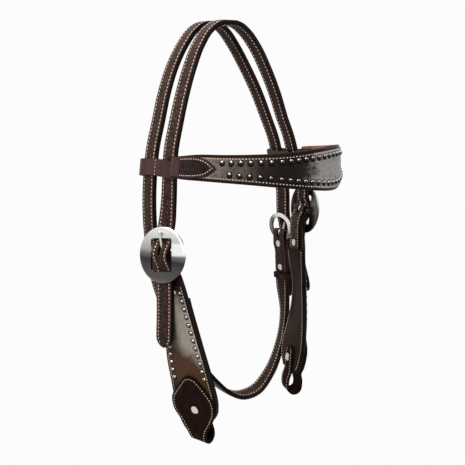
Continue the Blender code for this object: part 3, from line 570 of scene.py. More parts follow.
# %% Routes of the crown strap and the throat strap
TURNS = {NEAR: -23.0, FAR: 8.0}
FINE, COARSE = 1.2, 2.6
TAIL = [(100.0, 0.6, 6.6, FINE), (86.0, 0.5, 5.2, FINE), (66.0, 0.3, 2.7, COARSE)]
TAIL += [(46.0, 0.1, 0.9, COARSE), (32.0, 0.0, 0.1, COARSE)]
CROWN_NEAR = [(-79.5, -12.3, -178.0, -14.0), (-79.6, -15.8, -150.0, -9.0), (-77.5, -15.5, -125.0, -7.5)]
CROWN_FAR = [(85.3, -18.0, -155.0, 7.5), (79.8, -16.3, -137.0, 7.0), (73.8, -14.2, -115.0, 7.0)]
FAR_SPREAD = 0.965
CROWN_TOP = [(69.5, -12.5, -98.0, 6.5), (60.0, -9.5, -70.0, 5.0), (48.5, -6.0, -43.0, 3.5)]
CROWN_TOP += [(36.5, -3.0, -21.0, 2.0), (23.5, -0.8, -5.5, 0.5), (14.0, -0.2, 0.5, 0.0)]
CROWN_TOP += [(7.5, 0.0, 2.5, 0.0)]
THROAT_TOP = [(70.5, 22.0, -98.0, 4.0), (59.5, 27.0, -68.0, 3.0), (46.0, 31.5, -40.0, 2.0)]
THROAT_TOP += [(32.0, 33.0, -18.0, 1.0), (20.5, 33.0, -4.5, 0.5), (11.0, 32.0, 1.8, 0.0)]
THROAT_TOP += [(0.0, 31.5, 3.2, 0.0)]
THROAT_NEAR = [(-79.0, 19.5, -125.0, -5.0), (-84.5, 16.0, -150.0, -6.0), (-87.5, 14.5, -190.0, -8.0)]
THROAT_NEAR += [(-84.0, 16.0, -232.0, -9.0), (-75.5, 17.0, -278.0, -9.0), (-55.0, 15.5, -326.0, -9.0)]
THROAT_NEAR += [(-35.5, 12.5, -366.0, -8.0), (-14.0, 8.5, -396.5, -6.0), (3.0, 6.5, -414.0, -4.0)]
THROAT_LOOP = [(24.0, 6.0, -425.5, 0.0), (47.0, 6.0, -424.5, 6.0), (68.0, 6.0, -406.0, 14.0)]
THROAT_LOOP += [(82.0, 6.0, -378.0, 19.0), (90.5, 6.5, -332.0, 16.0)]
THROAT_FAR = [(80.0, 18.5, -125.0, 5.0), (85.0, 16.5, -150.0, 5.0)]
RING_TURN = -4.0
THROAT_BACK_END = 56.0
# The throat strap's billet at the ring buckle: (down, out) from the bar.
BILLET_OVER_RING = [(-40.0, 5.6), (-28.0, 5.3), (-20.0, 5.1), (-12.0, 5.4), (-5.0, 7.0), (3.0, 8.4)]
BILLET_OVER_RING += [(11.0, 8.9), (20.0, 8.8), (28.0, 7.9), (38.0, 7.0), (52.0, 6.8), (66.0, 6.6)]
BILLET_OVER_RING += [(78.0, 6.6), (90.0, 6.6)]


def billet_out(up):
    """How far the billet's middle lies outside the disc's middle, at a height above the bar."""
    reach = WINDOW_HEIGHT / 2 - 1.0
    if abs(up) >= reach:
        return BILLET_BACK
    return BILLET_BACK + BILLET_HUMP * 0.5 * (1.0 + math.cos(math.pi * up / reach))


def billet_knots(side):
    """The crown strap's route at one disc buckle, from the tip of its tail up to above the disc."""
    knots = []
    for down, forward, lift, spacing in TAIL:
        found = cheek_frame(side, down)
        spot = found.at(0.0, forward - cheek_shift(side, down), BAR_DEPTH + BILLET_BACK + lift)
        facing = math.degrees(math.atan2(-found.forward[0], -found.forward[1]))
        knots.append((*spot, facing, spacing))
    # Behind the plate below its window, over the bar inside it, and away from the plate above it.
    places = [(22.0, BILLET_BACK, COARSE)] + [(-up, billet_out(up), FINE) for up in range(-18, 19, 3)]
    places += [(-24.0, BILLET_BACK - 1.2, COARSE), (-30.0, BILLET_BACK - 3.2, COARSE)]
    disc, turn = DISCS[side], TURNS[side]
    return knots + [(*disc.at(down, 0.0, out), turn, spacing) for down, out, spacing in places]


def mirrored(knots):
    """The same knots on the other side of the head."""
    return [(-x, y, z, -turn) for x, y, z, turn in knots]


def coarse(knots):
    """Knots with the coarse spacing added."""
    return [(*knot, COARSE) for knot in knots]


def crown_route():
    near = billet_knots(NEAR) + coarse(CROWN_NEAR + mirrored(CROWN_TOP))
    far_top = [(x * (FAR_SPREAD if x > 14.0 else 1.0), y, z, turn) for x, y, z, turn in CROWN_TOP]
    far = billet_knots(FAR) + coarse(CROWN_FAR + far_top)
    rows = np.concatenate([smooth(near), smooth(far)[::-1]])
    return Route(rows[:, :3], turned(rows[:, 3]))


def throat_route():
    """From below the ring buckle's fold, round under the throat and over the poll, to the far billet."""
    start = [(*RING.at(down, 0.0, 0.0), RING_TURN) for down in (THROAT_BACK_END + 2.0, 70.0)]
    up_and_over = mirrored(THROAT_TOP[:-1]) + THROAT_TOP[::-1] + THROAT_FAR
    billet = [(*RING.at(down, 0.0, out), RING_TURN, FINE) for down, out in BILLET_OVER_RING]
    rows = smooth(coarse(start + THROAT_LOOP[::-1] + THROAT_NEAR[::-1] + up_and_over) + billet)
    return Route(rows[:, :3], turned(rows[:, 3]))


CROWN, THROAT = crown_route(), throat_route()
print("crown strap:", round(CROWN.run[-1]), "mm, throat strap:", round(THROAT.run[-1]), "mm")

# %% [markdown]
# ## Sweeping leather
#
# A cut strap isn't a box: its corners are rounded and burnished, a groove holds each stitch row, and a
# padded middle stands a little proud. `leather` lofts such a section along a route. It also writes what
# the finishes read: the UV map `leather`, in millimetres across and along, and the values `rim`, 1 on the
# cut edge, and `inset`, the distance to the nearest edge.

# %% The leather section
EDGE_STEPS = 4
STITCH_INSET = 3.0
TOP_INSETS = (1.5, 2.2, 2.6, 3.0, 3.4, 3.9, 4.8)
LEAST_MIDDLE = 0.6
MIDDLE_SHARES = (0.2, 0.4, 0.6, 0.8)
GROOVE_DEPTH, GROOVE_HALF = 0.35, 0.55
PAD_HEIGHT = 0.35


def relief(inset, pad, groove):
    """Height of a face over its flat level at a distance from the edge."""
    raised = pad * eased(inset, STITCH_INSET + 0.2, STITCH_INSET + 2.2)
    return raised - groove * np.exp(-(((inset - STITCH_INSET) / GROOVE_HALF) ** 2))


def rounded_edge(level, radius, upward):
    """Points (inset, out) of a rounded edge, from the side of the section to its top or under face."""
    turns = [math.pi / 2 * step / EDGE_STEPS for step in range(EDGE_STEPS + 1)]
    return [(radius * (1 - math.cos(t)), level - upward * radius * (1 - math.sin(t))) for t in turns]


def leather(name, route, fronts, rears, low, high, radius=0.6, pad=0.0, groove=0.0):
    """A strap or sheet along a route: fronts and rears are its edges' distances from the route.

    It reaches from low to high out of the route; its top face has the padded middle and the grooves."""
    fronts, rears = (np.broadcast_to(np.asarray(v, float), len(route.points)) for v in (fronts, rears))
    radius = min(radius, (high - low) / 2)
    burnish = [math.cos(math.pi / 2 * step / EDGE_STEPS) ** 0.5 for step in range(EDGE_STEPS + 1)]
    top = [(*point, rim) for point, rim in zip(rounded_edge(high, radius, 1), burnish)]
    top += [(inset, high + relief(inset, pad, groove), 0.0) for inset in TOP_INSETS]
    under = [(*point, float(k < 2)) for k, point in enumerate(rounded_edge(low, radius, -1))]
    room = np.minimum(1.0, (fronts + rears) / 2 / (TOP_INSETS[-1] + LEAST_MIDDLE))
    across, outs, insets, rims = [], [], [], []

    def put(place, out, inset, rim):
        across.append(place)
        outs.append(np.full(len(fronts), out))
        insets.append(inset * np.ones(len(fronts)))
        rims.append(np.full(len(fronts), rim))

    for inset, out, rim in top:
        put(-rears + inset * room, out, inset * room, rim)
    inner = TOP_INSETS[-1] * room
    for share in MIDDLE_SHARES:
        place = (-rears + inner) * (1 - share) + (fronts - inner) * share
        put(place, high + pad, np.minimum(fronts - place, place + rears), 0.0)
    for inset, out, rim in top[::-1]:
        put(fronts - inset * room, out, inset * room, rim)
    for inset, out, rim in under:
        put(fronts - inset * room, out, inset * room, rim)
    put((fronts - rears) / 2, low, (fronts + rears) / 2, 0.0)
    for inset, out, rim in under[::-1]:
        put(-rears + inset * room, out, inset * room, rim)
    return loft(name, route, *(np.array(v).T for v in (across, outs, insets, rims)))


def loft(name, route, across, outs, insets, rims):
    """The closed skin over rows of section points, with its UV map and values."""
    rows, count = across.shape
    points = route.points[:, None] + route.across[:, None] * across[..., None]
    points = points + route.outs[:, None] * outs[..., None]
    k, j = np.meshgrid(np.arange(rows - 1), np.arange(count), indexing="ij")
    after = (j + 1) % count
    quads = np.stack([k * count + j, k * count + after, (k + 1) * count + after, (k + 1) * count + j], -1)
    faces = [list(map(int, quad)) for quad in quads.reshape(-1, 4)]
    faces += [list(range(count - 1, -1, -1)), list(range((rows - 1) * count, rows * count))]
    if route.facing < 0:
        faces = [face[::-1] for face in faces]
    mesh = bpy.data.meshes.new(name)
    mesh.from_pydata((points * MM).reshape(-1, 3).tolist(), [], faces)
    sheet = np.stack([across, np.broadcast_to(route.run[:, None], across.shape)], -1).reshape(-1, 2)
    corners = np.zeros(len(mesh.loops), int)
    mesh.loops.foreach_get("vertex_index", corners)
    mesh.uv_layers.new(name="leather").data.foreach_set("uv", sheet[corners].ravel())
    for key, values in (("rim", rims), ("inset", insets)):
        mesh.attributes.new(key, "FLOAT", "POINT").data.foreach_set("value", values.ravel())
    mesh.shade_smooth()
    return shown(name, mesh)


def settle(obj):
    """Turns what the object's modifiers make into its own plain mesh."""
    graph = bpy.context.evaluated_depsgraph_get()
    mesh = bpy.data.meshes.new_from_object(obj.evaluated_get(graph))
    obj.modifiers.clear()
    obj.data = mesh
    obj.matrix_world = Matrix.Identity(4)
    return obj


def combine(obj, operation, other):
    """Unites a piece with another one, or cuts the other's shape out of it; the other is used up."""
    step = obj.modifiers.new(operation.lower(), "BOOLEAN")
    step.operation, step.object = operation, other
    settle(obj)
    bpy.data.objects.remove(other)


def block(frame_here, size, rounding=0.0):
    """A block centred on the frame: its size across, up and through, its upright edges rounded."""
    made = bmesh.new()
    bmesh.ops.create_cube(made, size=1.0)
    bmesh.ops.scale(made, vec=Vector(size) * MM, verts=made.verts)
    if rounding:
        upright = [e for e in made.edges if abs(e.verts[0].co.z - e.verts[1].co.z) > 1e-6]
        bmesh.ops.bevel(made, geom=upright, offset=rounding * MM, segments=5, profile=0.5, affect="EDGES")
    return placed(made, frame_here)


def peg(frame_here, width, length):
    """A round bar centred on the frame, standing out of the face."""
    made = bmesh.new()
    radius = width / 2 * MM
    bmesh.ops.create_cone(made, cap_ends=True, segments=24, radius1=radius, radius2=radius, depth=length * MM)
    return placed(made, frame_here)


def placed(made, frame_here):
    """What bmesh made, as an object on the frame."""
    mesh = bpy.data.meshes.new("tool")
    made.to_mesh(mesh)
    made.free()
    mesh.transform(frame_here.matrix())
    return shown("tool", mesh)


def dress(obj, look, body, *nodes):
    """Gives a finished piece its look and its body, and hides the solids that it stands for."""
    obj.data.materials.clear()
    obj.data.materials.append(look)
    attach(obj, body)
    if nodes:
        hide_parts(*nodes)
    print(obj.name, len(obj.data.polygons), "faces on", body)
    return obj


# %% [markdown]
# ## Leather finishes
#
# Oiled strap leather has a fine crackled grain where it was padded up between the stitch rows, smoother
# margins outside them, and edges burnished almost black. The three are one material, told apart by
# `inset` and `rim`. Cells stretched across the strap give the crackle, and slow noise gives the tone.

# %% Strap leather and its relatives
SHEEN = 0.08
FOLD_SLANT = 38.0
BURNISHED, LINING_EDGE, ROUGH_EDGE = colour(12, 8, 8), colour(15, 10, 9), colour(24, 15, 13)


def strap_finish(name, margin, middle, grain=0.5, shine=0.36, plain=None):
    """Burnished strap leather: smooth margins outside the stitch rows and a crackled middle between them.

    Plain gives a colour, and the distance along the piece from which the leather is smooth all over."""
    look = Finish(name, Specular_IOR_Level=SHEEN)
    rim, inset = look.attribute("rim"), look.attribute("inset")
    padded = inset.step(STITCH_INSET + 0.3, STITCH_INSET + 1.4)
    cloud = look.noise(look.sheet(), 0.11, 4.0)
    pores = look.noise(look.stretched(1.0, 0.55), 0.8, 5.0, 0.7)
    slanted = look.mapped(look.mapped(look.sheet(), turn=FOLD_SLANT), (0.45, 1.0, 1.0))
    folds = look.noise(slanted, 0.7, 4.0, 0.8)
    cracks = look.cells(look.stretched(1.0, 0.75), 0.4)
    groove = (1 - (inset - STITCH_INSET).size()).clamped()
    if plain:
        plain_tone, plain_from = plain
        plain_part = look.axis(look.sheet(), 1).step(plain_from - 2.0, plain_from + 2.0)
        padded = padded * (1 - plain_part)
        groove = groove * (1 - plain_part)
    tone = look.mix(padded, margin, middle)
    tone = look.mix(cloud.step(0.4, 0.75) * 0.4, tone, scaled(margin, 0.5))
    # Painted highlights on the raised folds, and painted shade in the creases between them.
    tone = look.mix(folds.step(0.49, 0.6) * padded * 0.85, tone, scaled(middle, 5.6))
    tone = look.mix((1 - folds.step(0.34, 0.48)) * padded * 0.8, tone, scaled(middle, 0.22))
    tone = look.mix((1 - cracks.step(0.03, 0.24)) * padded * 0.85, tone, scaled(middle, 0.12))
    tone = look.mix((pores - 0.5).clamped() * 2.0, tone, scaled(margin, 2.0))
    if plain:
        clouded = look.mix(cloud.step(0.3, 0.8), plain_tone, scaled(plain_tone, 0.7))
        tone = look.mix(plain_part * 0.85, tone, clouded)
    for share in (groove * 0.8, rim.step(0.2, 0.6), 1 - inset.step(0.01, 0.25)):
        tone = look.mix(share, tone, BURNISHED)
    rough = shine + padded * 0.1 + (pores - 0.5) * 0.3
    height = cracks.step(0.0, 0.22) * padded * 0.5 + folds * padded * 1.2 + pores * 0.3
    return look.set(Base_Color=tone, Roughness=rough, Normal=look.bump(height, grain))


def lining_finish(name, face, grain=0.1, shine=0.55):
    """Smooth lining leather, with fine pores and a faint sheen."""
    look = Finish(name, Specular_IOR_Level=SHEEN / 2)
    pores = look.noise(look.stretched(1.0, 0.8), 2.2, 4.0, 0.6)
    cloud = look.noise(look.stretched(1.0, 0.5), 0.09, 4.0)
    tone = look.mix(cloud.step(0.3, 0.75), face, scaled(face, 0.55))
    tone = look.mix((pores - 0.5).clamped() * 1.2, tone, scaled(face, 1.7))
    tone = look.mix(look.attribute("rim").step(0.25, 0.7), tone, LINING_EDGE)
    return look.set(Base_Color=tone, Roughness=shine + (pores - 0.5) * 0.3, Normal=look.bump(pores, grain))


def rough_out_finish(name, face):
    """Flesh side out: a short dry nap in a very dark chocolate."""
    look = Finish(name, Specular_IOR_Level=SHEEN / 2, Roughness=0.85)
    nap = look.noise(look.sheet(), 2.8, 6.0, 0.75)
    scuff = look.noise(look.stretched(1.0, 0.6), 0.16, 4.0, 0.6)
    tone = look.mix(scuff.step(0.4, 0.8), face, scaled(face, 2.0))
    tone = look.mix((nap - 0.45).clamped() * 1.6, tone, scaled(face, 2.6))
    tone = look.mix(look.attribute("rim").step(0.3, 0.8), tone, ROUGH_EDGE)
    return look.set(Base_Color=tone, Normal=look.bump(nap, 0.22))


# Distances along the folded cheek leather and along the browband's loop to where they turn smooth.
CHAPE_END, LEAF_END = 64.0, 47.0
STRAP_LEATHER = strap_finish("strap_leather_worn", colour(92, 60, 51), colour(54, 39, 33))
BASE_LEATHER = strap_finish("base_leather_dark", colour(34, 21, 18), colour(30, 20, 18), grain=0.12)
CHAPE_LEATHER = strap_finish("cheek_leather", colour(80, 50, 42), colour(54, 39, 33), 0.3,
                             plain=(colour(26, 17, 14), CHAPE_END))
TAB_LEATHER = strap_finish("tab_leather_smooth", colour(64, 43, 39), colour(34, 23, 21), 0.3, 0.32,
                           (colour(86, 60, 55), LEAF_END))
LINING_LEATHER = lining_finish("lining_leather_smooth", colour(62, 47, 40))
# The cheeks' lining is a darker copy of the lining leather: painted shade on their inner faces.
SHADED_CHEEK_LINING = lining_finish("cheek_lining_painted_shade", colour(44, 27, 20))
KEEPER_LEATHER = lining_finish("keeper_leather_red", colour(60, 34, 29))
TAN_LEATHER = lining_finish("natural_tan_leather", colour(176, 128, 100), grain=0.3, shine=0.7)
ROUGH_OUT = rough_out_finish("rough_out_chocolate", colour(32, 18, 15))
print("leather finishes:", len([look for look in bpy.data.materials if "leather" in look.name]))

# %% [markdown]
# ## The two straps
#
# Each strap is an outer layer and a lining, stitched back to back. Its ends are rounded. The crown strap
# runs from tail to tail; the throat strap's outer layer alone folds round the bar of the ring buckle.

# %% Doubled straps
TIP = 11.0
SEAM = 0.02
OUTER_LOW, OUTER_HIGH = SEAM, GAP / 2 + LAYER
LAYER_FACE, LAYER_BACK = LAYER / 2, -LAYER / 2 - FOLD_FILL
STRAP_EDGE, LINING_EDGE_ROUND = 0.8, 0.7
# Slots for the tongues: how far above the bar they lie, and their size across, up and through.
DISC_SLOT_UP, DISC_SLOT = 6.2, (3.2, 13.0, 24.0)
RING_SLOT_UP, RING_SLOT = 3.5, (3.8, 21.0, 17.0)
RING_FOLD_SLOT, CHEEK_FOLD_SLOT = (3.4, 12.0, 12.0), (3.4, 12.0, 20.0)
RING_WIRE, RING_BAR_RADIUS, RING_BAR_DROP = 1.7, 1.6, 7.0


def tip_widths(run, half, start_tip, end_tip):
    """Half widths of a strap whose ends are rounded over the given lengths (0 for a square end)."""
    widths = np.full(len(run), half)
    for distance, tip in ((run, start_tip), (run[-1] - run, end_tip)):
        if tip:
            near_end = np.clip(distance / tip, 0.0, 1.0)
            widths = np.minimum(widths, half * np.sqrt(np.maximum(0.012, 1.0 - (1.0 - near_end) ** 2)))
    return widths


def refined_ends(route, reach, spacing):
    """The same route with close stations near both ends, where the outline turns."""
    run = route.run
    inner = run[(run > reach) & (run < run[-1] - reach)]
    close = reach * (1 - np.cos(np.linspace(0.0, math.pi / 2, int(reach / spacing))))
    places = np.concatenate([close, inner, run[-1] - close[::-1]])
    return Route(route.read(route.points, places), route.read(route.across, places), route.facing)


def make_crown_strap():
    """Both layers from tail to tail, each with a slot for the tongue at either disc."""
    route = refined_ends(CROWN, TIP + 1.0, 0.7)
    widths = tip_widths(route.run, STRAP_WIDTH / 2, TIP, TIP)
    sizes = widths, widths, OUTER_LOW, OUTER_HIGH, STRAP_EDGE, PAD_HEIGHT, GROOVE_DEPTH
    outer = leather("crown_outer", route, *sizes)
    lining = leather("crown_lining", route, widths, widths, -OUTER_HIGH, -OUTER_LOW, LINING_EDGE_ROUND)
    for disc in DISCS.values():
        for layer in (outer, lining):
            combine(layer, "DIFFERENCE", block(disc.moved(-DISC_SLOT_UP, 0.0, 0.0), DISC_SLOT))
    dress(outer, STRAP_LEATHER, "straps", "crown_strap_outer")
    dress(lining, LINING_LEATHER, "straps", "crown_strap_lining")
    return route, widths


def throat_outer_route(route):
    """The throat strap's outer layer: up behind the bar, over it, and down into the long strap."""
    mean = RING_BAR_RADIUS + GAP + LAYER / 2
    leg = RING_WIRE + GAP + LAYER / 2
    lie = (LAYER + GAP) / 2
    # (down, out) from the ring's middle: the end behind, round the bar, and down in front.
    back = [(THROAT_BACK_END, -lie), (42.0, -lie), (30.0, -lie), (22.0, -leg), (14.0, -leg)]
    turns = np.radians(range(0, 181, 10))
    fold = [(RING_BAR_DROP - mean * math.sin(turn), -mean * math.cos(turn)) for turn in turns]
    front = [(14.0, leg), (22.0, leg), (30.0, lie), (42.0, lie)]
    folded = [RING.at(down, 0.0, out) for down, out in fine_profile(back + fold + front, 1.5)]
    points = np.concatenate([folded, route.points + route.outs * lie])
    return Route(points, np.concatenate([[RING.forward] * len(folded), route.across]))


def make_throat_strap():
    """The lining up to the fold, and the outer layer that folds round the ring buckle's bar."""
    lining_widths = tip_widths(THROAT.run, STRAP_WIDTH / 2, 0.0, TIP)
    sizes = lining_widths, lining_widths, -OUTER_HIGH, -OUTER_LOW, LINING_EDGE_ROUND
    lining = leather("throat_lining", THROAT, *sizes)
    route = throat_outer_route(THROAT)
    widths = tip_widths(route.run, STRAP_WIDTH / 2, 0.0, TIP)
    sizes = widths, widths, LAYER_BACK, LAYER_FACE, STRAP_EDGE, PAD_HEIGHT, GROOVE_DEPTH
    outer = leather("throat_outer", route, *sizes)
    combine(outer, "DIFFERENCE", block(RING.moved(RING_BAR_DROP - 0.5, 0.0, 0.0), RING_FOLD_SLOT))
    for layer in (outer, lining):
        combine(layer, "DIFFERENCE", block(RING.moved(-RING_SLOT_UP, 0.0, 6.5), RING_SLOT))
    dress(outer, STRAP_LEATHER, "straps", "throat_strap_outer")
    dress(lining, LINING_LEATHER, "straps", "throat_strap_lining")
    return route, widths, lining_widths


CROWN_FINE, CROWN_WIDTHS = make_crown_strap()
THROAT_OUTER, THROAT_OUTER_WIDTHS, THROAT_LINING_WIDTHS = make_throat_strap()

# %% [markdown]
# ## The cheek pieces
#
# A cheek piece is base leather folded over the buckle's bar, a hair-on inlay on its face, a lining behind
# it, and a rough-out leaf whose end goes down round the bit's ring and comes up behind.

# %% Cheek outlines
CHEEK_LAYER, HIDE_THICK, TAB_THICK = 2.2, 1.0, 2.4
CHEEK_END, TURN_BACK, HIDE_START, HIDE_END, CHEEK_LENGTH = 186.0, 46.0, 32.0, 164.0, 211.0
LOOP_RADIUS = 8.0
CHAPE_SCREW_DOWN, SCREW_HOLE, SCREW_HOLE_LENGTH = 39.0, 8.6, 8.0
BASE_OUT = -5.2
LINING_OUT = BASE_OUT - CHEEK_LAYER - GAP
HIDE_OUT = BASE_OUT + CHEEK_LAYER / 2 + GAP + HIDE_THICK / 2
TAB_OUT = HIDE_OUT + HIDE_THICK / 2 + GAP + TAB_THICK / 2
LIMB_OUT = LINING_OUT - CHEEK_LAYER / 2 - GAP - TAB_THICK / 2
CHEEK_FRONT = [(0.0, 9.5), (16.0, 10.0), (22.0, 13.0), (32.0, 15.5), (60.0, 18.0), (100.0, 22.0)]
CHEEK_FRONT += [(140.0, 26.0), (170.0, 26.0), (178.0, 23.5), (186.0, 17.5)]
CHEEK_REAR = [(0.0, 9.5), (16.0, 10.0), (22.0, 11.0), (36.0, 13.5), (60.0, 16.5), (84.0, 20.5)]
CHEEK_REAR += [(104.0, 25.5), (120.0, 27.5), (140.0, 28.0), (170.0, 27.0), (178.0, 24.0), (186.0, 18.5)]
# The leaf's point is rounded; it is the same for both edges.
TAB_START = 133.0
TAB_APEX = [(133.0, 0.6), (133.4, 3.2), (134.6, 6.2), (137.0, 9.4), (140.0, 12.2)]
TAB_FRONT = TAB_APEX + [(148.0, 18.5), (158.0, 24.5), (168.0, 26.0), (178.0, 23.5), (188.0, 17.5)]
TAB_FRONT += [(198.0, 11.5), (206.0, 9.5)]
TAB_REAR = TAB_APEX + [(148.0, 19.5), (158.0, 27.5), (168.0, 29.5), (178.0, 27.5), (188.0, 21.0)]
TAB_REAR += [(198.0, 13.5), (206.0, 11.0)]
HIDE_MARGIN = 2.5
HIDE_FACE, HIDE_BACK, HIDE_EDGE = HIDE_THICK / 2, -HIDE_THICK / 2 - FACE_FILL, 0.45


def cheek_sheet(name, side, downs, level, margin, low, high, edge):
    """A flat layer of the cheek piece, with its route and its edges."""
    route = cheek_route(side, [(down, level) for down in downs])
    edges = through(CHEEK_FRONT, downs) - margin, through(CHEEK_REAR, downs) - margin
    return leather(name, route, *edges, low, high, edge), route, edges


def make_cheek(side):
    """Base leather, hair-on inlay and lining; returns what the spots and the thread follow."""
    name, body = SIDE_NAMES[side], f"{SIDE_NAMES[side]}_cheek"
    mean = BAR_RADIUS + GAP + CHEEK_LAYER / 2
    # (down, out) from the bar: the turned-back end, round the bar, and down the face.
    back = [(TURN_BACK, LINING_OUT), (34.0, LINING_OUT), (20.0, LINING_OUT), (14.0, -7.2), (8.0, -5.6)]
    turns = np.radians(range(-20, 201, 10))
    fold = [(-mean * math.sin(turn), -mean * math.cos(turn)) for turn in turns]
    front = [(4.5, 1.0), (8.0, -1.5), (12.0, -4.0), (16.0, -5.0), (20.5, BASE_OUT), (26.0, BASE_OUT)]
    front += [(down, BASE_OUT) for down in np.arange(HIDE_START, CHEEK_END + 1.0, 11.0)]
    profile = fine_profile(back + fold + front, 1.5)
    turned_over = int(np.argmin(profile[:, 0]))
    downs = np.where(np.arange(len(profile)) > turned_over, profile[:, 0], 0.0)
    route = cheek_route(side, profile)
    edges = through(CHEEK_FRONT, downs), through(CHEEK_REAR, downs)
    face = CHEEK_LAYER / 2
    base = leather(f"{name}_cheek_leather", route, *edges, -face - FOLD_FILL, face, 0.7)
    combine(base, "DIFFERENCE", block(BARS[side].moved(-0.5, 0.0, 0.0), CHEEK_FOLD_SLOT))
    dress(base, CHAPE_LEATHER, body, f"{name}_cheek_base")
    base_rows = route, *edges

    downs = np.arange(HIDE_START, HIDE_END + 0.5, 1.5)
    sizes = HIDE_OUT, HIDE_MARGIN, HIDE_BACK, HIDE_FACE, HIDE_EDGE
    hide, hide_route, hide_edges = cheek_sheet(f"{name}_cheek_hair", side, downs, *sizes)
    screw = screw_frame(side, CHAPE_SCREW_DOWN, (BASE_OUT + LINING_OUT) / 2)
    combine(hide, "DIFFERENCE", peg(screw.moved(0.0, 0.0, 6.0), SCREW_HOLE, SCREW_HOLE_LENGTH))
    dress(hide, HAIR[side], body, f"{name}_cheek_hide")

    downs = np.arange(TURN_BACK + 2 * GAP, CHEEK_END, 2.0)
    sizes = LINING_OUT, 0.0, -face, face + FOLD_FILL, 0.7
    lining, lining_route, edges = cheek_sheet(f"{name}_cheek_backing", side, downs, *sizes)
    dress(lining, SHADED_CHEEK_LINING, body, f"{name}_cheek_lining")
    return hide_route, hide_edges, base_rows, (lining_route, *edges)


# %% [markdown]
# ## Hair-on hide
#
# The inlays are cowhide with its short glossy hair. The patches of dark and silver hair lie where this
# hide has them, and the silver is partly painted sheen, so each inlay's colour is a ramp along the piece,
# broken up by noise that is stretched along the lie of the hair. The same stretched noise is the bump.

# %% Hair finish
HAIR_SHEEN = 0.12


def hair_finish(name, stops, lie, length, shaded=False, slope=0.0):
    """Short hair: stops are (place from 0 to 1 along the piece, colour); lie is its slant in degrees.

    Slope leans the patches across the piece; a shaded piece is dark along its rear edge near its top."""
    look = Finish(name, Specular_IOR_Level=HAIR_SHEEN)
    hairs = look.noise(look.mapped(look.sheet(), (1.6, 0.16, 1.0), lie), 1.5, 4.0, 0.7)
    patches = look.noise(look.stretched(1.0, 0.8), 0.09, 4.0, 0.6)
    ticks = look.noise(look.stretched(1.0, 0.7), 0.42, 3.0, 0.6)
    across, along = (look.axis(look.sheet(), number) for number in (0, 1))
    place = along / length + (patches - 0.5) * 0.16 + (hairs - 0.5) * 0.05 - across * slope
    tone = look.ramp(place.clamped(), stops)
    tone = look.mix(ticks.step(0.5, 0.66) * (0.2 if shaded else 0.55), tone, colour(34, 26, 22))
    if shaded:
        shade = (1 - (across + (patches - 0.5) * 8).step(-10.0, 1.0)) * (1 - along.step(56.0, 86.0))
        tone = look.mix(shade * 0.85, tone, colour(24, 17, 13))
    dark = look.mix(0.6, tone, colour(8, 6, 5))
    pale = look.mix(1.0, tone, (2.0, 1.95, 1.9, 1.0), "MULTIPLY")
    tone = look.mix(hairs.step(0.3, 0.62) * 0.5 + 0.4, dark, tone)
    tone = look.mix(hairs.step(0.56, 0.8) * 0.75, tone, pale)
    tone = look.mix(look.attribute("rim").step(0.2, 0.7), tone, colour(42, 30, 25))
    return look.set(Base_Color=tone, Roughness=0.34 + (1 - hairs) * 0.22, Normal=look.bump(hairs, 0.35, 0.9))


BAND_LENGTH, CHEEK_HAIR_LENGTH = 290.0, 132.0
MOTTLED, DARK_HAIR, BLACK_HAIR = colour(158, 144, 135), colour(36, 25, 20), colour(16, 10, 9)
# The far end's silver is partly the hair's own pale colour and partly painted sheen.
SILVER_HAIR_AND_SHEEN, CREAM_HAIR, RUSSET = colour(186, 182, 177), colour(196, 184, 168), colour(92, 62, 39)
BROWN_HAIR = colour(110, 96, 88)
# From the far end of the band to the near one.
BAND_STOPS = [(0.0, SILVER_HAIR_AND_SHEEN), (0.49, SILVER_HAIR_AND_SHEEN), (0.54, DARK_HAIR), (0.6, BLACK_HAIR), (0.68, DARK_HAIR)]
BAND_STOPS += [(0.77, BROWN_HAIR), (0.88, MOTTLED), (1.0, MOTTLED)]
# From the top of the cheek inlay to its bottom.
CHEEK_STOPS = [(0.0, DARK_HAIR), (0.1, MOTTLED), (0.2, CREAM_HAIR), (0.5, CREAM_HAIR), (0.62, RUSSET)]
CHEEK_STOPS += [(0.86, RUSSET), (1.0, DARK_HAIR)]
BAND_HAIR = hair_finish("brindle_hair_band", BAND_STOPS, -35.0, BAND_LENGTH)
HAIR = {}
for side, who in SIDE_NAMES.items():
    lie = 12.0 * side
    HAIR[side] = hair_finish(f"brindle_hair_{who}", CHEEK_STOPS, lie, CHEEK_HAIR_LENGTH, True, 0.005)

# %% [markdown]
# ## Bit loops
#
# The leaf is cut from rough-out leather. It covers the inlay's lower end, narrows, goes round the bit's
# ring and comes up behind the lining, where the two-part screw closes it.

# %% Cheek pieces and bit loops
LIMB_HALF = 9.5
LEAF_STATIONS = [TAB_START, 133.4, 134.2, 135.4, 137.0, 140.0, 146.0, 152.0, 160.0, 168.0, 178.0, 186.0]
LIMB_STATIONS = [186.0, 178.0, 168.0, 158.0]


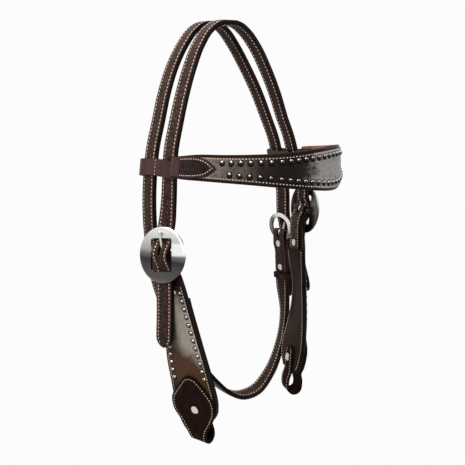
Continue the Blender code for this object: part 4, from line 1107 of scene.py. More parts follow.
def make_bit_loop(side):
    """The rough-out leaf: down the cheek's face, round the bit's ring, and up behind as a limb."""
    name = SIDE_NAMES[side]
    middle = (TAB_OUT + LIMB_OUT) / 2
    bend = CHEEK_LENGTH - LOOP_RADIUS
    profile = [(down, TAB_OUT) for down in LEAF_STATIONS]
    profile += [(195.0, middle + LOOP_RADIUS * 0.93)]
    turns = np.radians(range(0, 181, 20))
    profile += [(bend + LOOP_RADIUS * math.sin(t), middle + LOOP_RADIUS * math.cos(t)) for t in turns]
    profile += [(195.0, middle - LOOP_RADIUS * 0.93)] + [(down, LIMB_OUT) for down in LIMB_STATIONS]
    rows = fine_profile(profile, 1.1)
    route = cheek_route(side, rows)
    lowest = int(np.argmax(rows[:, 0]))
    on_leaf = np.arange(len(rows)) < lowest
    rise = rows[:, 0] - rows[-1, 0]
    limb = LIMB_HALF * np.sqrt(np.clip(1 - (1 - np.clip(rise / LIMB_HALF, 0, 1)) ** 2, 0.02, 1.0))
    fronts = np.where(on_leaf, through(TAB_FRONT, rows[:, 0]), limb)
    rears = np.where(on_leaf, through(TAB_REAR, rows[:, 0]), limb)
    half = TAB_THICK / 2
    tab = leather(f"{name}_bit_leaf", route, fronts, rears, -half, half, 0.8)
    dress(tab, ROUGH_OUT, f"{name}_cheek", f"{name}_bit_loop")
    return route, fronts, rears, lowest


CHEEK_FACES = {side: make_cheek(side) for side in SIDE_NAMES}
BIT_LOOPS = {side: make_bit_loop(side) for side in SIDE_NAMES}

# %% [markdown]
# ## The browband
#
# The band is a shaped sheet: base leather, a hair-on face and a tan lining. At each end a strip of smooth
# leather goes over both straps, round behind them and back inside the band; its other end is the leaf.

# %% Browband
BASE_THICK, LINING_THICK, LOOP_THICK = 1.8, 1.6, 2.0
# The band seen from above, from its far end to its middle; the near half mirrors it.
BAND_HALF = [(84.0, -32.5), (82.8, -46.0), (78.6, -70.0), (70.0, -94.0), (54.0, -118.0), (31.0, -136.5)]
BAND_PLAN = BAND_HALF + [(0.0, -144.0)] + [(-x, y) for x, y in BAND_HALF[::-1]]
# Heights of its upper and its lower edge at each of these points, from the far end to the near one.
BAND_TOPS = [-127.2, -125.6, -122.8, -119.6, -116.2, -114.2, -115.3, -117.8, -119.2, -120.6]
BAND_TOPS += [-122.0, -125.2, -127.2]
BAND_BOTTOMS = [-148.0, -147.0, -145.8, -147.0, -153.4, -156.4, -153.2, -149.2, -146.8, -146.2]
BAND_BOTTOMS += [-146.8, -148.0, -148.0]
BAND_LEAN = 11.0
TAB_TIP, TAB_BACK = 59.6, 26.0
LOOP_ROOM, LOOP_HALF = 1.75, 8.8
LOOP_MIDDLES = (-141.3, -143.3)
# How far the loop's end stands off the rear strap at the middle of the bend, and beside it.
BEND_ROOM, BEND_SIDE, BEND_DROP = 4.4, 2.6, 0.9
# Where a strap is looked for: beyond this distance from the middle, between these heights.
STRAP_BEYOND, STRAP_HEIGHTS = 60.0, (-170.0, -110.0)
# Stations of the band that the hair leaves bare at each end, and between two knots of a loop.
BARE_STATIONS, KNOT_STATIONS = 6, 6
# Half widths of the loop's leaf at distances from the band's end.
LEAF = [(0.0, 9.2), (12.0, 9.8), (26.0, 10.3), (38.0, 9.9), (46.0, 8.5), (52.5, 6.2), (56.5, 4.0)]
LEAF += [(59.6, 0.5)]


def leaning_up(x):
    """The band's own up direction at a distance across: leaning with the straps at its ends."""
    lean = math.radians(BAND_LEAN) * min(1.0, abs(x) / BAND_PLAN[0][0]) ** 2
    return (-math.copysign(math.sin(lean), x), 0.0, math.cos(lean))


def band_route(spacing):
    """The band's middle line, with half its height at each station."""
    tops, bottoms = np.array(BAND_TOPS), np.array(BAND_BOTTOMS)
    rows = smooth(np.column_stack([BAND_PLAN, (tops + bottoms) / 2, (tops - bottoms) / 2]), spacing)
    return Route(rows[:, :3], [leaning_up(x) for x in rows[:, 0]]), rows[:, 3]


def strap_frame(route, side, height):
    """The frame of a strap where its middle passes a height on one side, above the buckles."""
    x, _, z = route.points.T
    here = np.flatnonzero((x * side > STRAP_BEYOND) & (z > STRAP_HEIGHTS[0]) & (z < STRAP_HEIGHTS[1]))
    here = here[np.argsort(z[here])]
    tables = route.points, route.across, route.outs
    place, forward, out = (read_table(height, z[here], table[here]) for table in tables)
    found = object.__new__(Frame)
    found.origin, found.out = place, unit(out)
    found.forward = unit(forward) * (-1.0 if forward[1] > 0 else 1.0)
    down = unit(np.cross(found.forward, found.out))
    found.down = down * (-1.0 if down[2] > 0 else 1.0)
    return found


def make_browband():
    """Base, hair and lining; returns the routes and half widths that the loops and spots follow."""
    route, halves = band_route(1.6)
    base = leather("browband_leather", route, halves, halves, -BASE_THICK / 2, BASE_THICK / 2, 0.6)
    dress(base, BASE_LEATHER, "browband", "browband_base")
    inner = slice(BARE_STATIONS, -BARE_STATIONS)
    hide_out = BASE_THICK / 2 + GAP + HIDE_THICK / 2
    hide_route = Route(route.points[inner] + route.outs[inner] * hide_out, route.across[inner])
    hide_halves = halves[inner] - HIDE_MARGIN
    hide = leather("browband_hair", hide_route, hide_halves, hide_halves, HIDE_BACK, HIDE_FACE, HIDE_EDGE)
    dress(hide, BAND_HAIR, "browband", "browband_hide")
    lining_out = -(BASE_THICK / 2 + GAP + LINING_THICK / 2)
    lining_route = Route(route.points + route.outs * lining_out, route.across)
    face = LINING_THICK / 2
    lining = leather("browband_backing", lining_route, halves, halves, -face, face + FACE_FILL, 0.5)
    dress(lining, TAN_LEATHER, "browband", "browband_lining")
    return route, halves, hide_route, hide_halves


def make_browband_loop(side, band, halves):
    """The end loop: a leaf on the band's face, over both straps, round behind them and inside the band.

    Returns its route, its half widths and how far along it lies midway between the two straps."""
    name = SIDE_NAMES[side]
    tab_out = BASE_THICK / 2 + GAP + HIDE_THICK + GAP + LOOP_THICK / 2
    end_out = -(BASE_THICK / 2 + LINING_THICK + 3.5 * GAP + LOOP_THICK / 2)
    order = slice(None) if side == FAR else slice(None, None, -1)
    points, outs, ups, halves = band.points[order], band.outs[order], band.across[order], halves[order]
    run = band.run if side == FAR else band.run[-1] - band.run[::-1]
    leaf = np.flatnonzero(run < TAB_TIP)[::-1]
    under = np.flatnonzero(run < TAB_BACK)
    front, rear = (strap_frame(strap, side, z) for strap, z in zip((CROWN, THROAT), LOOP_MIDDLES))
    wall = STRAP_THICK / 2 + LOOP_ROOM + LOOP_THICK / 2
    edge = STRAP_WIDTH / 2
    # The loop as (strap, forward, out): over both straps, round the rear one, and back under them.
    walls = [(front, edge + 1.0, wall), (front, 0.0, wall), (front, 1.0 - edge, wall)]
    walls += [(rear, edge - 1.0, wall), (rear, 0.0, wall), (rear, -edge, wall)]
    beside, high = -edge - BEND_SIDE, wall - BEND_DROP
    bend = [(rear, beside, high), (rear, -edge - BEND_ROOM, 0.0), (rear, beside, -high)]
    wrapped = walls + bend + [(strap, forward, -out) for strap, forward, out in walls[::-1]]
    half_leaf = np.minimum(halves - 0.4, through(LEAF, run))
    knots = [(*(points[k] + outs[k] * tab_out), *ups[k], half_leaf[k]) for k in leaf[::KNOT_STATIONS]]
    knots += [(*strap.at(0.0, forward, out), *-strap.down, LOOP_HALF) for strap, forward, out in wrapped]
    knots += [(*(points[k] + outs[k] * end_out), *ups[k], LOOP_HALF) for k in under[::KNOT_STATIONS]]
    rows = smooth(knots, 1.0)
    route = Route(rows[:, :3], rows[:, 3:6], -side)
    widths = rows[:, 6]
    loop = leather(f"{name}_browband_leaf", route, widths, widths, -LOOP_THICK / 2, LOOP_THICK / 2, 0.6)
    dress(loop, TAB_LEATHER, "browband", f"{name}_browband_loop")
    middle = (front.at(0.0, 1.0 - edge, wall) + rear.at(0.0, edge - 1.0, wall)) / 2
    return route, widths, route.run[np.argmin(np.linalg.norm(route.points - middle, axis=1))]


BAND, BAND_HALVES, BAND_FACE, BAND_FACE_HALVES = make_browband()
BAND_LEAVES = {side: make_browband_loop(side, BAND, BAND_HALVES) for side in SIDE_NAMES}

# %% [markdown]
# ## Metal
#
# The round buckles are satin steel with a painted reflection: their face is darker below the middle, as if
# it mirrored a dark ground, and lighter again towards its bright bevelled rim. Turned shapes come from a
# profile and a Screw modifier; the window is cut with a Boolean and its edges are rounded with a Bevel.

# %% Metal finishes
# Tones of the painted reflection, from the foot of the disc's face, and of the ring's, to its top.
STEEL_REFLECTION_TONES = [(0.0, (104, 103, 101)), (0.1, (86, 85, 83)), (0.26, (76, 75, 73)), (0.4, (56, 56, 54))]
STEEL_REFLECTION_TONES += [(0.5, (112, 111, 109)), (0.58, (170, 169, 167)), (0.8, (206, 205, 203))]
STEEL_REFLECTION_TONES += [(1.0, (238, 237, 235))]
RING_REFLECTION_TONES = [(0.05, (66, 65, 63)), (0.3, (128, 126, 123)), (0.55, (104, 102, 100))]
RING_REFLECTION_TONES += [(0.72, (206, 204, 201)), (1.0, (236, 234, 231))]


def steel_finish():
    """Satin steel, brushed across, with a painted reflection: lighter above and darker below the middle."""
    look = Finish("satin_steel", Metallic=1.0)
    face = look.sheet("face")
    across, up = (look.axis(face, number) for number in (0, 1))
    lines = look.noise(look.mapped(face, (0.25, 9.0, 1.0)), 0.7, 4.0, 0.7)
    height = (up + across * 0.12) / (2 * DISC_RADIUS) + 0.5 + (lines - 0.5) * 0.03
    tone = look.ramp(height.clamped(), [(place, colour(*tint)) for place, tint in STEEL_REFLECTION_TONES])
    # A painted highlight: a bright band along the right side of the window.
    band = across.step(9.0, 13.0) * up.step(-2.5, 0.5) * (1 - up.step(10.0, 13.0))
    tone = look.mix(band * 0.9, tone, colour(250, 247, 244))
    # Painted shade on the plate's back, which faces the strap.
    tone = look.mix(look.attribute("back"), tone, colour(88, 86, 84))
    return look.set(Base_Color=tone, Roughness=lines * 0.14 + 0.24, Normal=look.bump(lines, 0.04))


def nickel_finish(name, face, roughness):
    """Plated nickel with a slightly uneven polish."""
    look = Finish(name, Metallic=1.0)
    wear = look.noise(look.place(), 900.0, 3.0, 0.6)
    tone = look.mix(wear.step(0.35, 0.75) * 0.35, face, scaled(face, 0.6))
    return look.set(Base_Color=tone, Roughness=wear * 0.16 + roughness)


def ring_finish():
    """The ring's flat face with a painted reflection: pale above, darker below and along its inner edge."""
    look = Finish("ring_steel", Metallic=1.0)
    face = look.sheet("face")
    across, up = (look.axis(face, number) for number in (0, 1))
    lines = look.noise(face, 0.6, 4.0, 0.6)
    height = (up - across * 0.6) / 44.0 + 0.5 + (lines - 0.5) * 0.2
    tone = look.ramp(height.clamped(), [(place, colour(*tint)) for place, tint in RING_REFLECTION_TONES])
    return look.set(Base_Color=tone, Roughness=lines * 0.14 + 0.2)


def spot_finish(name, low, middle, high):
    """A domed spot with a painted reflection: painted shade where it turns down to the ground, a painted
    highlight where it turns up to the light.
    """
    look = Finish(name, Metallic=1.0)
    up = look.axis(look.node("ShaderNodeNewGeometry", output="Normal"), 2) * 0.5 + 0.5
    tarnish = look.noise(look.place(), 700.0, 3.0, 0.6)
    shares = (up + (tarnish - 0.5) * 0.12).clamped()
    tone = look.ramp(shares, [(0.3, low), (0.52, middle), (0.68, middle), (0.82, high)])
    return look.set(Base_Color=tone, Roughness=tarnish * 0.12 + 0.1)


RING_STEEL = ring_finish()
STEEL = steel_finish()
NICKEL = nickel_finish("pale_nickel", colour(214, 209, 203), 0.2)
# Both spot finishes paint shade on the lower half of each dome and a highlight on its upper half.
SPOT_NICKEL = spot_finish("antique_nickel_painted_light", colour(16, 14, 13), colour(56, 53, 50), colour(224, 220, 214))
PALE_NICKEL = spot_finish("bright_spot_nickel_painted_light", colour(40, 38, 36), colour(140, 137, 132),
                          colour(236, 233, 228))

# %% [markdown]
# ## Shaping metal
#
# Discs and rings are turned: a profile swept round an axis. Wires follow a line of points with a thickness
# at each. Pieces that were brazed together are united into one skin, and the disc plate's sharp edges are
# broken.

# %% Turned shapes and wires
WELD = 1e-6
BEVEL_FROM, SHARP_FROM = math.radians(40.0), math.radians(35.0)


def turned_mesh(name, profile, steps):
    """A shape turned about Z from a profile of (radius, height) points, closed or ending on the axis."""
    mesh = bpy.data.meshes.new(name)
    points = [(radius * MM, 0.0, height * MM) for radius, height in profile]
    mesh.from_pydata(points, [(k, k + 1) for k in range(len(profile) - 1)], [])
    obj = shown(name, mesh)
    screw = obj.modifiers.new("turn", "SCREW")
    screw.steps = screw.render_steps = steps
    screw.use_merge_vertices, screw.merge_threshold = True, WELD
    settle(obj)
    mend(obj.data)
    return obj


def mend(mesh):
    """Welds doubled points and turns every face outward."""
    made = bmesh.new()
    made.from_mesh(mesh)
    bmesh.ops.remove_doubles(made, verts=made.verts, dist=WELD)
    bmesh.ops.recalc_face_normals(made, faces=made.faces)
    made.to_mesh(mesh)
    made.free()


def wire(name, points, radii):
    """A round wire through the points; radii gives its half thickness at each."""
    curve = bpy.data.curves.new(name, "CURVE")
    curve.dimensions, curve.bevel_depth, curve.bevel_resolution = "3D", MM, 5
    curve.use_fill_caps = True
    line = curve.splines.new("POLY")
    line.points.add(len(points) - 1)
    for spot, p, radius in zip(line.points, points, np.broadcast_to(radii, len(points))):
        spot.co, spot.radius = (*(Vector(p) * MM), 1.0), radius
    guide = bpy.data.objects.new(name, curve)
    mesh = bpy.data.meshes.new_from_object(guide.evaluated_get(bpy.context.evaluated_depsgraph_get()))
    bpy.data.objects.remove(guide)
    mend(mesh)
    mesh.shade_smooth()
    return shown(name, mesh)


def smooth_shading(obj):
    """Smooth faces that meet sharply only where they turn by more than the limit."""
    obj.data.shade_smooth()
    obj.data.set_sharp_from_angle(angle=SHARP_FROM)


def mark_faces(obj, frame_here, front):
    """Writes the UV map `face`, in millimetres across and up, and `back`, 1 on what faces the strap."""
    mesh = obj.data
    inverse = frame_here.matrix().inverted()
    local = np.array([inverse @ v.co for v in mesh.vertices]) / MM
    layer = mesh.uv_layers.get("face") or mesh.uv_layers.new(name="face")
    corners = np.zeros(len(mesh.loops), int)
    mesh.loops.foreach_get("vertex_index", corners)
    layer.data.foreach_set("uv", local[corners, :2].ravel())
    back = (local[:, 2] < front).astype(float)
    mesh.attributes.new("back", "FLOAT", "POINT").data.foreach_set("value", back)


def soften(obj, width):
    """Rounds the sharp edges of a piece."""
    bevel = obj.modifiers.new("edges", "BEVEL")
    bevel.width, bevel.segments, bevel.limit_method = width * MM, 3, "ANGLE"
    bevel.angle_limit = BEVEL_FROM
    settle(obj)
    smooth_shading(obj)


# %% [markdown]
# ## Buckles, tongues and screws
#
# Each strap passes behind its round plate, comes up through the window over the bar, and goes back behind.
# The tongue is an eye of wire round the bar; its tip lies on the strap above the window's edge. The ring
# buckle is a flat bevelled ring with a bar across it. The screws keep the shapes of their solids.

# %% Buckles, tongues and screws
DISC_STEPS, DISC_DOME, DISC_RIM, WINDOW_ROUNDING, RIM_SOFTNESS = 96, 0.5, 1.5, 2.2, 0.35
LUG_WIDTH, LUG_HEIGHT, WIRE_HALF = 2.0, 5.0, 1.05
RING_HALF_BAND, RING_MIDDLE, RING_OVAL, RING_STEPS = 2.6, 14.3, 1.14, 72
# The ring's bevelled section, in shares of its half band and of its half thickness.
RING_SHAPE = [(-1.0, 0.5), (-0.6, 0.95), (0.55, 0.95), (1.0, 0.3), (1.0, -0.5), (0.6, -1.0), (-0.6, -1.0)]
RING_SHAPE += [(-1.0, -0.5), (-1.0, 0.5)]


def make_disc_buckle(side):
    """A round cart buckle: a bevelled plate with a window, and a bar set behind it on two lugs."""
    name, disc, half = SIDE_NAMES[side], DISCS[side], DISC_THICK / 2
    # The domed face, the bevelled rim and the flat back.
    domed = [0.0, *np.linspace(6.0, DISC_RADIUS - DISC_RIM, 6)]
    profile = [(r, half + DISC_DOME * (1 - (r / DISC_RADIUS) ** 2)) for r in domed]
    profile += [(DISC_RADIUS - 0.5, half - 0.7), (DISC_RADIUS, half - 1.3), (DISC_RADIUS, 0.4 - half)]
    profile += [(DISC_RADIUS - 0.5, -half), (0.0, -half)]
    plate = turned_mesh(f"{name}_disc_plate", profile, DISC_STEPS)
    plate.data.transform(disc.matrix())
    combine(plate, "DIFFERENCE", block(disc, (WINDOW_WIDTH, WINDOW_HEIGHT, 12.0), WINDOW_ROUNDING))
    soften(plate, RIM_SOFTNESS)
    ends, reach, lug = (-1, 1), WINDOW_WIDTH / 2 + 2.1, WINDOW_WIDTH / 2 + 1.6
    combine(plate, "UNION", wire("bar", [BARS[side].at(0.0, end * reach, 0.0) for end in ends], BAR_RADIUS))
    for end in ends:
        place = disc.moved(0.0, end * lug, -BAR_DEPTH / 2 - 0.4)
        combine(plate, "UNION", block(place, (LUG_WIDTH, LUG_HEIGHT, BAR_DEPTH - 0.2)))
    smooth_shading(plate)
    mark_faces(plate, disc, 0.3 - half)
    return dress(plate, STEEL, "straps", f"{name}_disc_buckle")


def make_tongue(name, bar, bar_radius, tip_up, tip_out, thick, ball):
    """A buckle tongue: an eye round the bar, and a tapered wire up and out to a round tip."""
    mean = bar_radius + GAP + 1.1
    # The eye, the tapered shank, and the ball at its tip.
    turns = np.radians(range(20, 271, 10))
    points = [bar.at(-mean * math.cos(t), 0.0, -mean * math.sin(t)) for t in turns]
    radii = [WIRE_HALF] * len(points)
    start, tip = bar.at(0.0, 0.0, mean), bar.at(-tip_up, 0.0, tip_out)
    for share in np.linspace(0.08, 0.9, 10):
        points.append(start + (tip - start) * share)
        radii.append(WIRE_HALF + (thick - WIRE_HALF) * eased(share, 0.1, 0.5))
    for share in np.linspace(-0.9, 0.98, 14):
        points.append(tip + unit(tip - start) * ball * share)
        radii.append(max(thick if share < 0 else 0.0, ball * math.sqrt(1 - share**2)))
    return dress(wire(f"{name}_tongue_wire", points, radii), NICKEL, f"{name}_tongue", f"{name}_prong")


def make_ring_buckle():
    """A flat bevelled ring, a little wider than high, with a bar across it below its middle."""
    section = [(RING_MIDDLE + RING_HALF_BAND * across, RING_WIRE * up) for across, up in RING_SHAPE]
    ring = turned_mesh("ring_buckle_steel", section, RING_STEPS)
    ring.data.transform(RING.matrix() @ Matrix.Diagonal((RING_OVAL, 1.0, 1.0, 1.0)))
    reach = RING_OVAL * math.sqrt(RING_MIDDLE**2 - RING_BAR_DROP**2)
    ends = [RING.at(RING_BAR_DROP, end * reach, 0.0) for end in (-1, 1)]
    combine(ring, "UNION", wire("bar", ends, RING_BAR_RADIUS))
    smooth_shading(ring)
    mark_faces(ring, RING, -9.0)
    return dress(ring, RING_STEEL, "straps", "ring_buckle")


for node in [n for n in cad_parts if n.endswith(("_post", "_screw"))]:
    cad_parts[node].data.materials.clear()
    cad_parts[node].data.materials.append(NICKEL)
TIP_OUT = BAR_DEPTH + DISC_THICK / 2 + 4 * GAP + 1.15
for side, who in SIDE_NAMES.items():
    make_disc_buckle(side)
    make_tongue(who, BARS[side], BAR_RADIUS, 22.5, TIP_OUT, 1.35, 1.9)
make_ring_buckle()
make_tongue("ring", RING.moved(RING_BAR_DROP, 0.0, 0.0), RING_BAR_RADIUS, 20.5, 10.2, 1.2, 1.7)

# %% [markdown]
# ## The keeper
#
# The keeper is a narrow strip bent round both layers of the throat strap, its ends butted and sewn at the
# back. It holds the billet's tail down.

# %% Keeper
KEEPER_DOWN, KEEPER_HEIGHT, KEEPER_THICK, KEEPER_ROOM, KEEPER_CORNER = 61.0, 6.5, 1.8, 0.7, 2.2
# Half the gap between the strip's butted ends.
BUTT = 0.1


def make_keeper():
    """Round the strap from the middle of its back and back again, with round corners."""
    side = STRAP_WIDTH / 2 + KEEPER_ROOM + KEEPER_THICK / 2
    inner = -(LAYER + GAP / 2) - KEEPER_ROOM - KEEPER_THICK / 2
    outer = BILLET_OVER_RING[-4][1] + STRAP_THICK / 2 + KEEPER_ROOM + KEEPER_THICK / 2
    here = RING.moved(KEEPER_DOWN, 0.0, 0.0)
    corners = [(side, inner, -90), (side, outer, 0), (-side, outer, 90), (-side, inner, 180)]
    flat = [(BUTT, inner)]
    for forward, out, start in corners:
        # Each corner is a quarter turn round a middle that lies inside it.
        middle = np.array([forward - math.copysign(KEEPER_CORNER, forward),
                           out - math.copysign(KEEPER_CORNER, out - inner - 1)])
        for turn in np.radians(np.arange(start, start + 91, 15)):
            flat.append(middle + KEEPER_CORNER * np.array([math.cos(turn), math.sin(turn)]))
    flat.append((-BUTT, inner))
    points = [here.at(0.0, forward, out) for forward, out in flat]
    route = Route(points, [here.down] * len(points), -1)
    half = KEEPER_HEIGHT / 2
    band = leather("keeper_leather", route, half, half, -KEEPER_THICK / 2, KEEPER_THICK / 2, 0.6)
    return dress(band, KEEPER_LEATHER, "strap_keeper", "keeper")


make_keeper()

# %% [markdown]
# ## Thread and spots by Geometry Nodes
#
# Stitches and spots repeat along lines. Each line is a chain of edges that carries two directions: `ahead`
# along it and `upright` out of the leather. One tree resamples the lines at the wanted spacing, puts a
# small body on every point, turns it to both directions and realizes the result.

# %% A tree that repeats a small body along lines
def repeat_tree(name, segments, rings, radius, look):
    """Lines in, balls out, drawn out by Size. Pitch and Size are in metres; Jitter turns each a little."""
    tree = bpy.data.node_groups.new(name, "GeometryNodeTree")
    face = tree.interface
    face.new_socket("Geometry", in_out="INPUT", socket_type="NodeSocketGeometry")
    for label, kind in (("Pitch", "Float"), ("Size", "Vector"), ("Jitter", "Float"), ("Seed", "Int")):
        face.new_socket(label, in_out="INPUT", socket_type=f"NodeSocket{kind}")
    face.new_socket("Geometry", in_out="OUTPUT", socket_type="NodeSocketGeometry")

    def add(kind, links=None, **settings):
        node = tree.nodes.new(kind)
        for key, value in settings.items():
            setattr(node, key, value)
        for socket, value in (links or {}).items():
            if isinstance(value, bpy.types.NodeSocket):
                tree.links.new(value, node.inputs[socket])
            else:
                node.inputs[socket].default_value = value
        return node

    def named(label):
        return add("GeometryNodeInputNamedAttribute", {"Name": label}, data_type="FLOAT_VECTOR").outputs[0]

    entry = add("NodeGroupInput").outputs
    round_body = add("GeometryNodeMeshUVSphere", {"Segments": segments, "Rings": rings, "Radius": radius})
    ball = add("GeometryNodeSetShadeSmooth", {"Geometry": round_body.outputs[0]})
    curves = add("GeometryNodeMeshToCurve", {"Mesh": entry["Geometry"]})
    spacing = {"Curve": curves.outputs[0], "Length": entry["Pitch"]}
    spaced = add("GeometryNodeResampleCurve", spacing, mode="LENGTH")
    straight = add("FunctionNodeAlignRotationToVector", {"Vector": named("ahead")}, axis="X")
    upright_links = {"Rotation": straight.outputs[0], "Vector": named("upright")}
    upright = add("FunctionNodeAlignRotationToVector", upright_links, axis="Z", pivot_axis="X")
    lower = add("ShaderNodeMath", {0: entry["Jitter"], 1: -1.0}, operation="MULTIPLY")
    # Sockets 2 and 3 of this node are the least and the most of a plain number.
    limits = {2: lower.outputs[0], 3: entry["Jitter"], "Seed": entry["Seed"]}
    turn = add("FunctionNodeRandomValue", limits, data_type="FLOAT")
    spin = add("ShaderNodeCombineXYZ", {"Z": turn.outputs[1]})
    angles = add("FunctionNodeEulerToRotation", {0: spin.outputs[0]})
    turning = {0: upright.outputs[0], 1: angles.outputs[0]}
    rotation = add("FunctionNodeRotateRotation", turning, rotation_space="LOCAL")
    placing = {"Points": spaced.outputs[0], "Instance": ball.outputs[0]}
    placing |= {"Rotation": rotation.outputs[0], "Scale": entry["Size"]}
    bodies = add("GeometryNodeInstanceOnPoints", placing)
    real = add("GeometryNodeRealizeInstances", {"Geometry": bodies.outputs[0]})
    painted = add("GeometryNodeSetMaterial", {"Geometry": real.outputs[0], "Material": look})
    tree.links.new(painted.outputs[0], add("NodeGroupOutput").inputs[0])
    return tree


def lines_object(name, lines):
    """One mesh of edge chains from (points, upright directions) pairs."""
    points, edges, ahead, upright = [], [], [], []
    for line, outs in lines:
        first = len(points)
        points += [tuple(p * MM) for p in line]
        edges += [(first + k, first + k + 1) for k in range(len(line) - 1)]
        ahead += list(unit(np.gradient(line, axis=0)))
        upright += list(outs)
    mesh = bpy.data.meshes.new(name)
    mesh.from_pydata(points, edges, [])
    for label, values in (("ahead", ahead), ("upright", upright)):
        mesh.attributes.new(label, "FLOAT_VECTOR", "POINT").data.foreach_set("vector", np.ravel(values))
    return shown(name, mesh)


def repeat(name, lines, tree, look, body, pitch, size, jitter=0.0, seed=1):
    """Runs the tree over the lines and keeps the result as one plain mesh on a body."""
    obj = lines_object(name, lines)
    step = obj.modifiers.new("repeat", "NODES")
    step.node_group = tree
    sockets = {item.name: item.identifier for item in tree.interface.items_tree if item.in_out == "INPUT"}
    values = {"Pitch": pitch * MM, "Size": [s * MM for s in size], "Jitter": jitter, "Seed": seed}
    for label, value in values.items():
        step[sockets[label]] = value
    settle(obj)
    return dress(obj, look, body)


# %% [markdown]
# ## Lines on the leather
#
# A row keeps its distance from an edge. Round a tip it is the outline moved inward, without the points
# that would run backward there.

# %% Lines on the leather
def row_lines(route, fronts, rears, inset, out, start, end, edges=(-1, 1)):
    """Lines at a distance inside the edges (1 is the front one, -1 the rear one) from start to end along."""
    run = np.arange(start, end, 1.0)
    lines = []
    for edge in edges:
        half = np.interp(run, route.run, fronts if edge > 0 else rears)
        lines.append(route.spots(run, edge * (half - inset), np.full(len(run), out)))
    return lines


def on_the_back(lines):
    """The same lines for a face that looks the other way."""
    return [(points, -outs) for points, outs in lines]


def outline_line(route, fronts, rears, inset, out, end):
    """A line inside a rounded tip at the route's start: along the rear edge, round, and back in front."""
    keep = route.run <= end
    run, front, rear = route.run[keep], np.asarray(fronts)[keep], np.asarray(rears)[keep]
    flat = np.array([(r, -w) for r, w in zip(run[::-1], rear[::-1])] + [(r, w) for r, w in zip(run, front)])
    heading = unit(np.gradient(flat, axis=0))
    inward = np.stack([-heading[:, 1], heading[:, 0]], -1)
    moved = flat + inward * inset * (1.0 if inward[len(rear) - 1, 0] > 0 else -1.0)
    steps = np.linalg.norm(np.diff(flat, axis=0), axis=1)
    back = np.sum(np.diff(moved, axis=0) * np.diff(flat, axis=0), axis=1)
    keep = np.concatenate([[True], (back > 0) & (steps > 0.05)])
    moved = moved[keep]
    at = running(np.linalg.norm(np.diff(moved, axis=0), axis=1))
    places = read_table(np.linspace(0.0, at[-1], int(at[-1]) + 1), at, moved)
    return route.spots(places[:, 0], places[:, 1], np.full(len(places), out))


# %% [markdown]
# ## Stitching on the straps
#
# Waxed thread in a pale tan holds the two layers together. On the grain side the rows lie in their
# grooves and run round each rounded tip; on the lining they lie flat.

# %% Stitching on the straps
LONG_STITCH = 3.9, (2.7, 1.2, 0.8)
SHORT_STITCH = 3.1, (2.1, 0.95, 0.6)
STITCH_TILT = 0.07
# How far the thread's middle lies over the floor of a groove, over a bare face and over the lining.
THREAD_IN_GROOVE, THREAD_ON_FACE, THREAD_ON_LINING = 0.14, 0.03, 0.02
ON_STRAP = OUTER_HIGH - GROOVE_DEPTH + THREAD_IN_GROOVE
ON_OUTER_LAYER = LAYER_FACE - GROOVE_DEPTH + THREAD_IN_GROOVE
RING_FOLD_END = 75.0


def thread_finish():
    """Waxed thread, lighter where a strand turns up."""
    look = Finish("waxed_thread", Roughness=0.6)
    twist = look.noise(look.place(), 1500.0, 3.0, 0.6)
    tone = look.mix(twist.step(0.3, 0.75), colour(236, 204, 180), colour(252, 236, 218))
    return look.set(Base_Color=tone, Normal=look.bump(twist, 0.15))


THREAD = thread_finish()
STITCHES = repeat_tree("stitch_rows", 6, 5, 0.5, THREAD)


def sew(name, lines, body, stitch, seed):
    """Thread along the lines; a stitch is its pitch and its size along, across and out."""
    pitch, size = stitch
    return repeat(name, lines, STITCHES, THREAD, body, pitch, size, STITCH_TILT, seed)


def reversed_route(route):
    """The same strap read from its other end; facing keeps its grain side out."""
    return Route(route.points[::-1], route.across[::-1], -route.facing)


def tip_line(route, widths, out, end):
    """Both rows of a strap and the turn that joins them round its tip."""
    return outline_line(route, widths, widths, STITCH_INSET, out, end)


def lining_rows(route, widths, start):
    """Both rows where they come through on the lining."""
    low, end = -OUTER_HIGH - THREAD_ON_LINING, route.run[-1] - TIP
    return on_the_back(row_lines(route, widths, widths, STITCH_INSET, low, start, end))


HALF_CROWN = CROWN_FINE.run[-1] / 2
CROWN_ROWS = [tip_line(CROWN_FINE, CROWN_WIDTHS, ON_STRAP, HALF_CROWN)]
CROWN_ROWS.append(tip_line(reversed_route(CROWN_FINE), CROWN_WIDTHS[::-1], ON_STRAP, HALF_CROWN))
THROAT_BACKWARD = reversed_route(THROAT_OUTER)
THROAT_END = THROAT_BACKWARD.run[-1] - RING_FOLD_END
THROAT_ROWS = [tip_line(THROAT_BACKWARD, THROAT_OUTER_WIDTHS[::-1], ON_OUTER_LAYER, THROAT_END)]
LINING_ROWS = lining_rows(CROWN_FINE, CROWN_WIDTHS, TIP) + lining_rows(THROAT, THROAT_LINING_WIDTHS, 3.0)
sew("crown_stitching", CROWN_ROWS, "straps", LONG_STITCH, 1)
sew("throat_stitching", THROAT_ROWS, "straps", LONG_STITCH, 2)
sew("lining_stitching", LINING_ROWS, "straps", LONG_STITCH, 3)

# %% [markdown]
# ## Spots
#
# Domed nickel spots edge the browband and the cheek pieces. Round each foot lies a thin dark disc, a
# painted contact shadow; the spots stand closer on the far half of the band.

# %% Spots
STUD_RADIUS, STUD_HEIGHT = 2.4, 1.7
# The dark disc of painted contact shadow round each spot: how far it reaches past the spot, and its height.
SPOT_SHADOW_ROOM, SPOT_SHADOW_HEIGHT = 0.75, 0.14
BAND_SPOT_INSET, CHEEK_SPOT_INSET = 5.2, 4.6
BAND_SPOT_PITCH, CLOSE_SPOT_PITCH, CHEEK_SPOT_PITCH = 9.0, 7.3, 8.4
BAND_SPOT_START, BAND_SPOT_CHANGE = 56.0, 175.0
